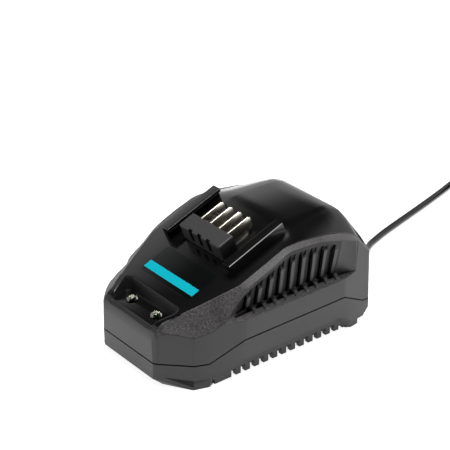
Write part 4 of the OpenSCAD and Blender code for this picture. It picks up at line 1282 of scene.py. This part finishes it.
def catmull(points, step):
    """Points about a step apart on a smooth curve through the given ones."""
    p = [Vector(q) for q in points]
    p = [2 * p[0] - p[1]] + p + [2 * p[-1] - p[-2]]
    made = []
    for a, b, c, d in zip(p, p[1:], p[2:], p[3:]):
        count = max(1, round((c - b).length / step))
        for k in range(count):
            t = k / count
            made.append(0.5 * (2 * b + (c - a) * t + (2 * a - 5 * b + 4 * c - d) * t * t
                               + (3 * b - a - 3 * c + d) * t**3))
    made.append(p[-2])
    return made


def coil_points():
    """The wound turns: nine rings, three wide and three high, each joined to the next by a short slope."""
    step, r = CORD_D, COIL_R
    z = [CORD_D / 2 + k * step for k in range(3)]
    cells = [(r + step, z[0]), (r, z[0]), (r - step, z[0]), (r - step, z[1]), (r - step, z[2]),
             (r, z[2]), (r, z[1]), (r + step, z[1]), (r + step, z[2])]
    spans = [360, 360, 315, 360, 315, 315, 315, 315, 330]
    start, blend, turn = 195.0, 22.0, 7.5
    ease, ease_rise = 13, 0.9
    marks, total = [], 0.0
    for s in spans:
        total += s
        marks.append(total)
    points = []
    for k in range(int(total / turn) + 1):
        a = min(total, turn * k)
        radius, height = cells[0]
        if a < ease:
            radius += ease_rise * (1 - a / ease) ** 2
        for i, m in enumerate(marks[:-1]):
            if a > m - blend:
                t = min(1.0, max(0.0, (a - m + blend) / (2 * blend)))
                t = t * t * (3 - 2 * t)
                radius = cells[i][0] + (cells[i + 1][0] - cells[i][0]) * t
                height = cells[i][1] + (cells[i + 1][1] - cells[i][1]) * t
        w = math.radians(start - a)
        points.append((COIL_AT[0] + radius * math.cos(w), COIL_AT[1] + radius * math.sin(w), height))
    return points


def build_cord():
    """The cord along its route, and its length in millimetres."""
    line = catmull(CORD_ROUTE + coil_points() + COIL_END + TAIL_ROUTE, 4.0)
    for p in line:
        p.z = max(p.z, CORD_D / 2)
    curve = bpy.data.curves.new("power_cord", "CURVE")
    curve.dimensions = "3D"
    spline = curve.splines.new("POLY")
    spline.points.add(len(line) - 1)
    for p, q in zip(spline.points, line):
        p.co = (q[0] * MM, (q[1] - HALF_LENGTH) * MM, q[2] * MM, 1)
    spline.use_smooth = True
    curve.bevel_depth = CORD_D / 2 * MM
    curve.bevel_resolution = 5
    curve.use_fill_caps = True
    curve.materials.append(cord_jacket())
    cord = link(bpy.data.objects.new("power_cord", curve))
    settle(cord, "cord_jacket", "mains_cord", "cord_coil", "cord_tail")
    return cord, sum((b - a).length for a, b in zip(line, line[1:]))


def build_relief():
    """The grooved sleeve round the cord where it leaves the housing."""
    rubber = moulded("Relief rubber", (0.014, 0.014, 0.015), 0.5, 0.3, 0.4, 0.25, 0.15)
    ribs = sizes().flex_ribs
    bore, r0, r1 = CORD_D / 2 + 0.02, GLAND_R - 0.3, CORD_D / 2 + 1.0
    y0, y1 = LENGTH + 3.2, LENGTH + 24.2
    profile = [(bore, LENGTH - 4.9), (5.6, LENGTH - 4.9), (5.6, LENGTH - 2.4), (4.3, LENGTH - 2.4),
               (4.3, LENGTH), (5.0, LENGTH), (5.0, LENGTH + 1.7), (4.7, LENGTH + 2.1), (r0, LENGTH + 2.6)]
    for k in range(ribs):
        a, b, c, d = (y0 + (y1 - y0) * (k + part) / ribs for part in (0, 0.62, 0.7, 0.94))
        big = r0 + (r1 - r0) * (k + 0.3) / ribs
        profile += [(big, a), (big - 0.05, b), (big - 0.75, c), (big - 0.75, d)]
    profile += [(r1, y1), (r1, LENGTH + 24.9), (bore, LENGTH + 25)]
    relief = turned("flex_relief", profile, [rubber], lambda a, b, c: (a, c, GLAND_Z + b), 32)
    return settle(relief, "cord_rubber", "strain_relief")


def build_plug():
    """The flat body of the plug, with grip grooves on both faces."""
    plastic = moulded("Plug plastic", (0.014, 0.014, 0.015), 0.4, 0.2, 0.5, 0.3, 0.1)
    x, y = PLUG_AT
    wide = PLUG_W / 2
    half = [(0.0, 3.2), (6, 4.2), (11, 7.5), (16, wide - 2.5), (19, wide - 0.5), (24, wide),
            (PLUG_L, wide - 1.0)]
    outline = [(x + a, y - b) for a, b in half] + [(x + a, y + b) for a, b in reversed(half)]
    plug = prism("mains_plug", outline, 0.0, PLUG_T, [plastic])
    rounded(plug, 2.6, 50, 5)
    grips = []
    for k in range(4):
        start = x + 22 + 3.2 * k
        for z in (-0.2, PLUG_T - 0.5):
            grips.append(block("grip", (start, y - 11, z), (start + 1.3, y + 11, z + 0.7), [plastic]))
    cut(plug, grips)
    tidy(plug, 35, 0.001)
    even_shading(plug)
    return settle(plug, "plug_plastic", "plug_body")


def build_pins():
    """Two round pins with insulated roots."""
    nickel = drawn_metal("Nickel pin", (0.76, 0.75, 0.72), 0.2, (0.05, 1, 1), 1600.0)
    sleeve = polished("Pin sleeve", (0.013, 0.013, 0.014), 0.35)
    profile = [(1.9, -2.5), (1.9, 10), (1.95, 10.05), (PIN_R, 10.2), (PIN_R, PIN_L - 1.4),
               (1.7, PIN_L - 0.5), (1.1, PIN_L), (0, PIN_L)]
    x = PLUG_AT[0] + PLUG_L
    pins = []
    for y in (PLUG_AT[1] - PIN_GAP / 2, PLUG_AT[1] + PIN_GAP / 2):
        pins.append(turned("pin", profile, [nickel, sleeve],
                           lambda a, b, c, y=y: (x + c, y + a, PLUG_T / 2 + b), 32, [1, 1, 0, 0, 0, 0, 0]))
    return settle(joined("mains_pins", pins, 40), "pin_metal", "plug_pins")


def build_tie():
    """The band that holds the coil together."""
    plastic = polished("Tie", (0.02, 0.02, 0.021), 0.45)
    out = [(COIL_R + u, z) for u, z in round_corners(rectangle(-6.35, 0.05, 6.35, 12.25), 1.6)]
    inside = [(COIL_R + (u - COIL_R) * 0.93, 6.15 + (z - 6.15) * 0.93) for u, z in out]
    points, faces = [], []
    c, s = math.cos(TIE_A), math.sin(TIE_A)
    for v in (-TIE_W / 2, TIE_W / 2):
        for loop in (out, inside):
            points += [(COIL_AT[0] + u * c - v * s, COIL_AT[1] + u * s + v * c, z) for u, z in loop]
    n = len(out)
    for i in range(n):
        j = (i + 1) % n
        faces += [(i, j, n + j, n + i), (2 * n + i, 3 * n + i, 3 * n + j, 2 * n + j),
                  (i, 2 * n + i, 2 * n + j, j), (n + i, n + j, 3 * n + j, 3 * n + i)]
    return piece("cord_tie", points, faces, [plastic])


class CHARGER_OT_cord(bpy.types.Operator):
    """Mains cord from its strain relief to the coil, the tie and the flat plug"""
    bl_idname = "charger.cord"
    bl_label = "Mains cord"

    def execute(self, context):
        cord, length = build_cord()
        relief = build_relief()
        plug = build_plug()
        pair = build_pins()
        tie = build_tie()
        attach(tie, BODY)
        return {"FINISHED"}


# ------------------------------------------------------------------ inside

def build_screws(name, source, places, r, length, head_r, head_h, up):
    """Pan-head screws with a cross recess; up tells which way they point."""
    zinc = drawn_metal("Zinc screw", (0.66, 0.67, 0.69), 0.3, (1, 1, 0.1), 2200.0)
    flip = 1 if up else -1
    pitch, root = 0.8, r * 0.82
    profile = [(0, -head_h), (head_r * 0.6, -head_h), (head_r * 0.9, -head_h * 0.72),
               (head_r, -head_h * 0.35), (head_r, 0), (r, 0)]
    for k in range(int((length - 1.5) / pitch)):
        a = 0.6 + k * pitch
        profile += [(root, a), (r, a + pitch / 2)]
    profile += [(root, length - 0.8), (0.2, length), (0, length)]
    reach, wide, deep = head_r * 0.55, head_r * 0.13, head_h * 0.6
    made = []
    for x, y, z in places:
        s = turned("screw", profile, [zinc], lambda a, b, c, x=x, y=y, z=z: (x + a, y + b, z + flip * c), 24)
        top = z - flip * head_h
        for dx, dy, dz in ((reach, wide, deep), (wide, reach, deep * 0.98)):
            cut(s, [block("slot", (x - dx, y - dy, top - dz), (x + dx, y + dy, top + dz), [zinc])])
        made.append(s)
    settle(joined(name, made), "screw_steel", source)


def node_box(name):
    """Low and high corner of a CAD node, in model millimetres."""
    low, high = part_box(name)
    return ((low.x / MM, low.y / MM + HALF_LENGTH, low.z / MM),
            (high.x / MM, high.y / MM + HALF_LENGTH, high.z / MM))


class CHARGER_OT_screws(bpy.types.Operator):
    """Screws of the housing, the boards and the cord clamp"""
    bl_idname = "charger.screws"
    bl_label = "Screws"

    def execute(self, context):
        build_screws("housing_screws", "base_screws", [(s * 29, y, 7) for s in (1, -1) for y in (19, 110)],
                     1.5, 14, 2.8, 2, True)
        build_screws("indicator_screws", "led_screws", [(s * 16, LENS_Y, 18.4) for s in (1, -1)],
                     1.2, 6, 2.3, 1.6, True)
        build_screws("supply_screws", "board_screws", [(s * 28, y, 10.6) for s in (1, -1) for y in (30, 100)],
                     1.2, 5.4, 2.3, 1.6, False)
        build_screws("cord_clamp_screws", "clamp_screws", [(s * 12, 112.6, 17.4) for s in (1, -1)],
                     1.2, 10.4, 2.3, 1.6, False)
        return {"FINISHED"}


def board_material():
    """Solder resist with copper tracks under it and tinned pads."""
    m, tree, shader = new_material("Circuit board", colours().board, 0.35, Coat_Weight=0.3)
    if tree:
        place = node(tree, "ShaderNodeTexCoord").outputs["Object"]
        cells = node(tree, "ShaderNodeTexVoronoi", feature="DISTANCE_TO_EDGE", distance="MANHATTAN",
                     in_Scale=190.0)
        tree.links.new(place, cells.inputs["Vector"])
        track = math_node(tree, "LESS_THAN", cells.outputs["Distance"], 0.09)
        dots = node(tree, "ShaderNodeTexVoronoi", in_Scale=420.0, in_Randomness=0.25)
        tree.links.new(place, dots.inputs["Vector"])
        pad = math_node(tree, "LESS_THAN", dots.outputs["Distance"], 0.16)
        light = tuple(min(1, c * 1.8 + 0.01) for c in colours().board)
        base = mix_colour(tree, track, colours().board, light)
        tree.links.new(mix_colour(tree, pad, base, (0.62, 0.6, 0.55)), shader.inputs["Base Color"])
        add_bump(tree, shader, track, 0.2, 0.05)
    return m


def dress_parts(epoxy, ferrite):
    """Materials and rounded edges for the parts that keep their modelled shape."""
    aluminium = drawn_metal("Sink aluminium", (0.72, 0.73, 0.74), 0.35, (1, 1, 0.04), 1200.0)
    blue = polished("Blue insulation", (0.02, 0.07, 0.35), 0.35, 0.4)
    for name, material, radius in (
            ("main_board", board_material(), 0.15),
            ("led_board", board_material(), 0.15),
            ("leds", polished("Lamp epoxy", (0.72, 0.8, 0.72), 0.12, 0.3, Transmission_Weight=0.4), 0.5),
            ("transformer_core", ferrite, 0.4),
            ("transformer_winding", polished("Winding tape", (0.75, 0.48, 0.05), 0.25, 0.6), 0.5),
            ("x_capacitor", polished("Capacitor box", (0.72, 0.5, 0.05), 0.3, 0.5), 0.5),
            ("mains_fuse", epoxy, 0.5),
            ("bridge_rectifier", epoxy, 0.4),
            ("switching_transistor", epoxy, 0.35),
            ("output_diode", epoxy, 0.35),
            ("primary_heat_sink", aluminium, 0.25),
            ("output_heat_sink", aluminium, 0.25),
            ("cord_clamp", moulded("Clamp plastic", (0.02, 0.02, 0.02), 0.45, 0.3, 0.4, 0.3, 0.15), 0.4),
            ("inner_cord", cord_jacket(), 0.0),
            ("output_leads", polished("Red insulation", (0.45, 0.012, 0.01), 0.35, 0.4), 0.0),
            ("led_leads", blue, 0.0),
            ("mains_leads", blue, 0.0)):
        dress(name, material, radius)


def build_cans(name, source):
    """Round capacitors with a bead under the sleeve and a vent cross in the lid."""
    sleeve = polished("Capacitor sleeve", (0.012, 0.014, 0.04), 0.2, 0.4)
    can = drawn_metal("Can aluminium", (0.75, 0.75, 0.76), 0.3, (1, 1, 1), 900.0)
    (x0, y0, z0), (x1, y1, z1) = node_box(source)
    r, y = (y1 - y0) / 2, (y0 + y1) / 2
    profile = [(r * 0.6, z0), (r * 0.97, z0), (r, z0 + 0.4), (r, z0 + 1.6), (r - 0.45, z0 + 2.2),
               (r - 0.45, z0 + 2.6), (r, z0 + 3.2), (r, z1 - 0.7), (r - 0.3, z1 - 0.15), (r - 1.0, z1),
               (r - 1.1, z1 - 0.25), (0, z1 - 0.25)]
    made = []
    for x in sorted({round(x0 + r, 3), round(x1 - r, 3)}):
        c = turned("can", profile, [sleeve, can], lambda a, b, h, x=x: (x + a, y + b, h), 40, [0] * 10 + [1])
        for dx, dy, deep in ((r * 0.7, 0.15, 0.45), (0.15, r * 0.7, 0.46)):
            cut(c, [block("vent", (x - dx, y - dy, z1 - deep), (x + dx, y + dy, z1 + 0.2), [can])])
        made.append(c)
    settle(joined(name, made), "capacitor_sleeve", source)


def closed_grid(name, rows, columns, at, materials):
    """A closed ring of faces; at gives the point for an angle along the ring and one round it."""
    points, faces = [], []
    for i in range(rows):
        for j in range(columns):
            points.append(at(2 * math.pi * i / rows, 2 * math.pi * j / columns))
    for i in range(rows):
        for j in range(columns):
            p, q = (i + 1) % rows, (j + 1) % columns
            faces.append((i * columns + j, p * columns + j, p * columns + q, i * columns + q))
    return piece(name, points, faces, materials)


def build_choke(epoxy, ferrite):
    """A ring core on a carrier, wound with copper wire on its two halves."""
    copper = polished("Enamelled copper", (0.62, 0.22, 0.06), 0.22, 0.3, Metallic=0.85)
    (x0, y0, z0), (x1, y1, _) = node_box("line_choke")
    cx, cy, cz = (x0 + x1) / 2, (y0 + y1) / 2, z0 + 10.0
    ring_r, core_r, wire_r, wire_gap, turns = 5.0, 2.3, 0.36, 0.34, 26
    carrier = block("carrier", (x0, y0, z0), (x1, y1, z0 + 3), [epoxy])
    rounded(carrier, 0.4, 40)

    def on_core(a, u):
        radial = ring_r + core_r * math.cos(u)
        return cx + radial * math.cos(a), cy + core_r * math.sin(u), cz + radial * math.sin(a)

    def on_wire(a, u, v):
        r = core_r + wire_gap + wire_r * math.cos(v)
        along = wire_r * math.sin(v)
        radial = ring_r + r * math.cos(u)
        return (cx + radial * math.cos(a) - along * math.sin(a), cy + r * math.sin(u),
                cz + radial * math.sin(a) + along * math.cos(a))

    made = [closed_grid("ring", 40, 16, on_core, [ferrite])]
    for k in range(turns):
        a = 2 * math.pi * k / turns
        if abs(math.sin(a)) <= 0.96:
            made.append(closed_grid("turn", 18, 6, lambda u, v, a=a: on_wire(a, u, v), [copper]))
    choke = join(carrier, made)
    choke.name = "choke_ring"
    settle(choke, "copper_wire", "line_choke")


class CHARGER_OT_supply(bpy.types.Operator):
    """The supply board with its parts, the indicator board and the leads"""
    bl_idname = "charger.supply"
    bl_label = "Supply"

    def execute(self, context):
        epoxy = moulded("Moulded epoxy", (0.014, 0.014, 0.014), 0.5, 0.3, 0.5, 0.3, 0.2)
        ferrite = moulded("Ferrite", (0.045, 0.045, 0.05), 0.6, 0.35, 0.6, 0.5, 0.3)
        dress_parts(epoxy, ferrite)
        build_cans("bulk_can", "bulk_capacitor")
        build_cans("output_cans", "output_capacitors")
        build_choke(epoxy, ferrite)
        return {"FINISHED"}


# ------------------------------------------------------------------ stage

def area_light(name, at, size, power):
    """A square soft light that looks at the charger."""
    data = bpy.data.lights.new(name, "AREA")
    data.energy = power
    data.shape = "RECTANGLE"
    data.size = data.size_y = size
    obj = link(bpy.data.objects.new(name, data))
    obj.location = at
    obj.rotation_euler = (Vector((0, 0, 0.03)) - Vector(at)).to_track_quat("-Z", "Y").to_euler()
    return obj


def build_floor():
    """A white floor that looks evenly lit to the camera and in reflections."""
    floor = bpy.data.meshes.new("floor")
    r = 4.0
    floor.from_pydata([(-r, -r, 0), (r, -r, 0), (r, r, 0), (-r, r, 0)], [], [(0, 1, 2, 3)])
    m = bpy.data.materials.new("White floor")
    m.use_nodes = True
    tree = m.node_tree
    tree.nodes.clear()
    out = tree.nodes.new("ShaderNodeOutputMaterial")
    paths = tree.nodes.new("ShaderNodeLightPath")
    white = node(tree, "ShaderNodeBsdfDiffuse", in_Color=(0.75, 0.75, 0.75, 1))
    glow = node(tree, "ShaderNodeEmission", in_Color=(1, 1, 1, 1))
    seen = math_node(tree, "MULTIPLY", paths.outputs["Is Camera Ray"], 0.88)
    bent = math_node(tree, "MAXIMUM", paths.outputs["Is Glossy Ray"], paths.outputs["Is Transmission Ray"])
    seen = math_node(tree, "MAXIMUM", seen, math_node(tree, "MULTIPLY", bent, 0.7))
    tree.links.new(seen, glow.inputs["Strength"])
    both = tree.nodes.new("ShaderNodeAddShader")
    tree.links.new(white.outputs[0], both.inputs[0])
    tree.links.new(glow.outputs[0], both.inputs[1])
    tree.links.new(both.outputs[0], out.inputs["Surface"])
    floor.materials.append(m)
    return link(bpy.data.objects.new("floor", floor))


def darkened(tree, direction, middle, start, full, left):
    """Share of the light that is left in a direction near the middle of a dark patch."""
    near = node(tree, "ShaderNodeVectorMath", operation="DOT_PRODUCT")
    near.inputs[1].default_value = middle
    tree.links.new(direction, near.inputs[0])
    fade = node(tree, "ShaderNodeMapRange", interpolation_type="SMOOTHSTEP")
    tree.links.new(near.outputs["Value"], fade.inputs["Value"])
    for socket, value in (("From Min", start), ("From Max", full), ("To Min", 1.0), ("To Max", left)):
        fade.inputs[socket].default_value = value
    return fade.outputs[0]


def build_room(scene, strength):
    """A bright room with a dark ceiling and dark patches; the camera itself sees plain white."""
    world = bpy.data.worlds.new("Studio")
    scene.world = world
    world.use_nodes = True
    tree = world.node_tree
    tree.nodes.clear()
    out = tree.nodes.new("ShaderNodeOutputWorld")
    paths = tree.nodes.new("ShaderNodeLightPath")
    direction = tree.nodes.new("ShaderNodeTexCoord").outputs["Generated"]
    split = tree.nodes.new("ShaderNodeSeparateXYZ")
    tree.links.new(direction, split.inputs[0])
    ramp = tree.nodes.new("ShaderNodeValToRGB")
    tree.links.new(split.outputs["Z"], ramp.inputs["Fac"])
    walls, ceiling = ramp.color_ramp.elements
    walls.position, walls.color = 0.56, (1, 1, 1, 1)
    ceiling.position, ceiling.color = 0.74, (0.05, 0.05, 0.052, 1)
    level = None
    for patch in DARK_PATCHES:
        share = darkened(tree, direction, *patch)
        level = math_node(tree, "MULTIPLY", level, share) if level else share
    room = node(tree, "ShaderNodeBackground")
    tree.links.new(ramp.outputs["Color"], room.inputs["Color"])
    tree.links.new(math_node(tree, "MULTIPLY", level, strength), room.inputs["Strength"])
    plain = node(tree, "ShaderNodeBackground", in_Color=(1, 1, 1, 1), in_Strength=1.0)
    mix = tree.nodes.new("ShaderNodeMixShader")
    tree.links.new(paths.outputs["Is Camera Ray"], mix.inputs[0])
    tree.links.new(room.outputs[0], mix.inputs[1])
    tree.links.new(plain.outputs[0], mix.inputs[2])
    tree.links.new(mix.outputs[0], out.inputs["Surface"])


def build_camera():
    camera = bpy.data.cameras.new("Camera")
    camera.lens = 122.15
    camera.sensor_width = 36.0
    camera.clip_start, camera.clip_end = 0.05, 20
    view = link(bpy.data.objects.new("Camera", camera))
    view.location = (0.5284, -0.4255, 0.4148)
    view.rotation_euler = (math.pi / 2 - 0.482513, 0, 0.895374)
    return view


class CHARGER_OT_stage(bpy.types.Operator):
    """White floor, room, soft lights and camera"""
    bl_idname = "charger.stage"
    bl_label = "Stage"

    def execute(self, context):
        scene = context.scene
        stage = scene.charger_stage
        scene.view_settings.view_transform = "Standard"
        ground = build_floor()
        build_room(scene, stage.room_light)
        area_light("Key", (-0.08, 0.03, 1.0), 0.5, stage.key_power * 6.6)
        area_light("Side left", (-0.8, -0.8, 0.3), 0.6, stage.side_power * 1.8)
        area_light("Side right", (0.8, 0.8, 0.3), 0.6, stage.side_power * 4.6)
        scene.camera = build_camera()
        return {"FINISHED"}


# ------------------------------------------------------------------ panel and registration

OPERATORS = (CHARGER_OT_stage, CHARGER_OT_cord, CHARGER_OT_housing_top, CHARGER_OT_housing_base,
             CHARGER_OT_films, CHARGER_OT_lenses, CHARGER_OT_contacts, CHARGER_OT_screws, CHARGER_OT_supply)


class CHARGER_PT_panel(bpy.types.Panel):
    """Sizes, colours and building steps of the charger"""
    bl_label = "Battery charger"
    bl_idname = "CHARGER_PT_panel"
    bl_space_type = "VIEW_3D"
    bl_region_type = "UI"
    bl_category = "Charger"

    def draw(self, context):
        scene = context.scene
        for group in (scene.charger_sizes, scene.charger_colours, scene.charger_stage):
            box = self.layout.box()
            for name in group.__annotations__:
                box.prop(group, name)
        for operator in OPERATORS:
            self.layout.operator(operator.bl_idname)


CLASSES = (ChargerSizes, ChargerColours, ChargerStage) + OPERATORS + (CHARGER_PT_panel,)


def register():
    for c in CLASSES:
        bpy.utils.register_class(c)
    bpy.types.Scene.charger_sizes = PointerProperty(type=ChargerSizes)
    bpy.types.Scene.charger_colours = PointerProperty(type=ChargerColours)
    bpy.types.Scene.charger_stage = PointerProperty(type=ChargerStage)


def unregister():
    del bpy.types.Scene.charger_stage
    del bpy.types.Scene.charger_colours
    del bpy.types.Scene.charger_sizes
    for c in reversed(CLASSES):
        bpy.utils.unregister_class(c)


def main():
    register()
    for operator in OPERATORS:
        group, name = operator.bl_idname.split(".")
        getattr(getattr(bpy.ops, group), name)()


if __name__ == "__main__":
    main()
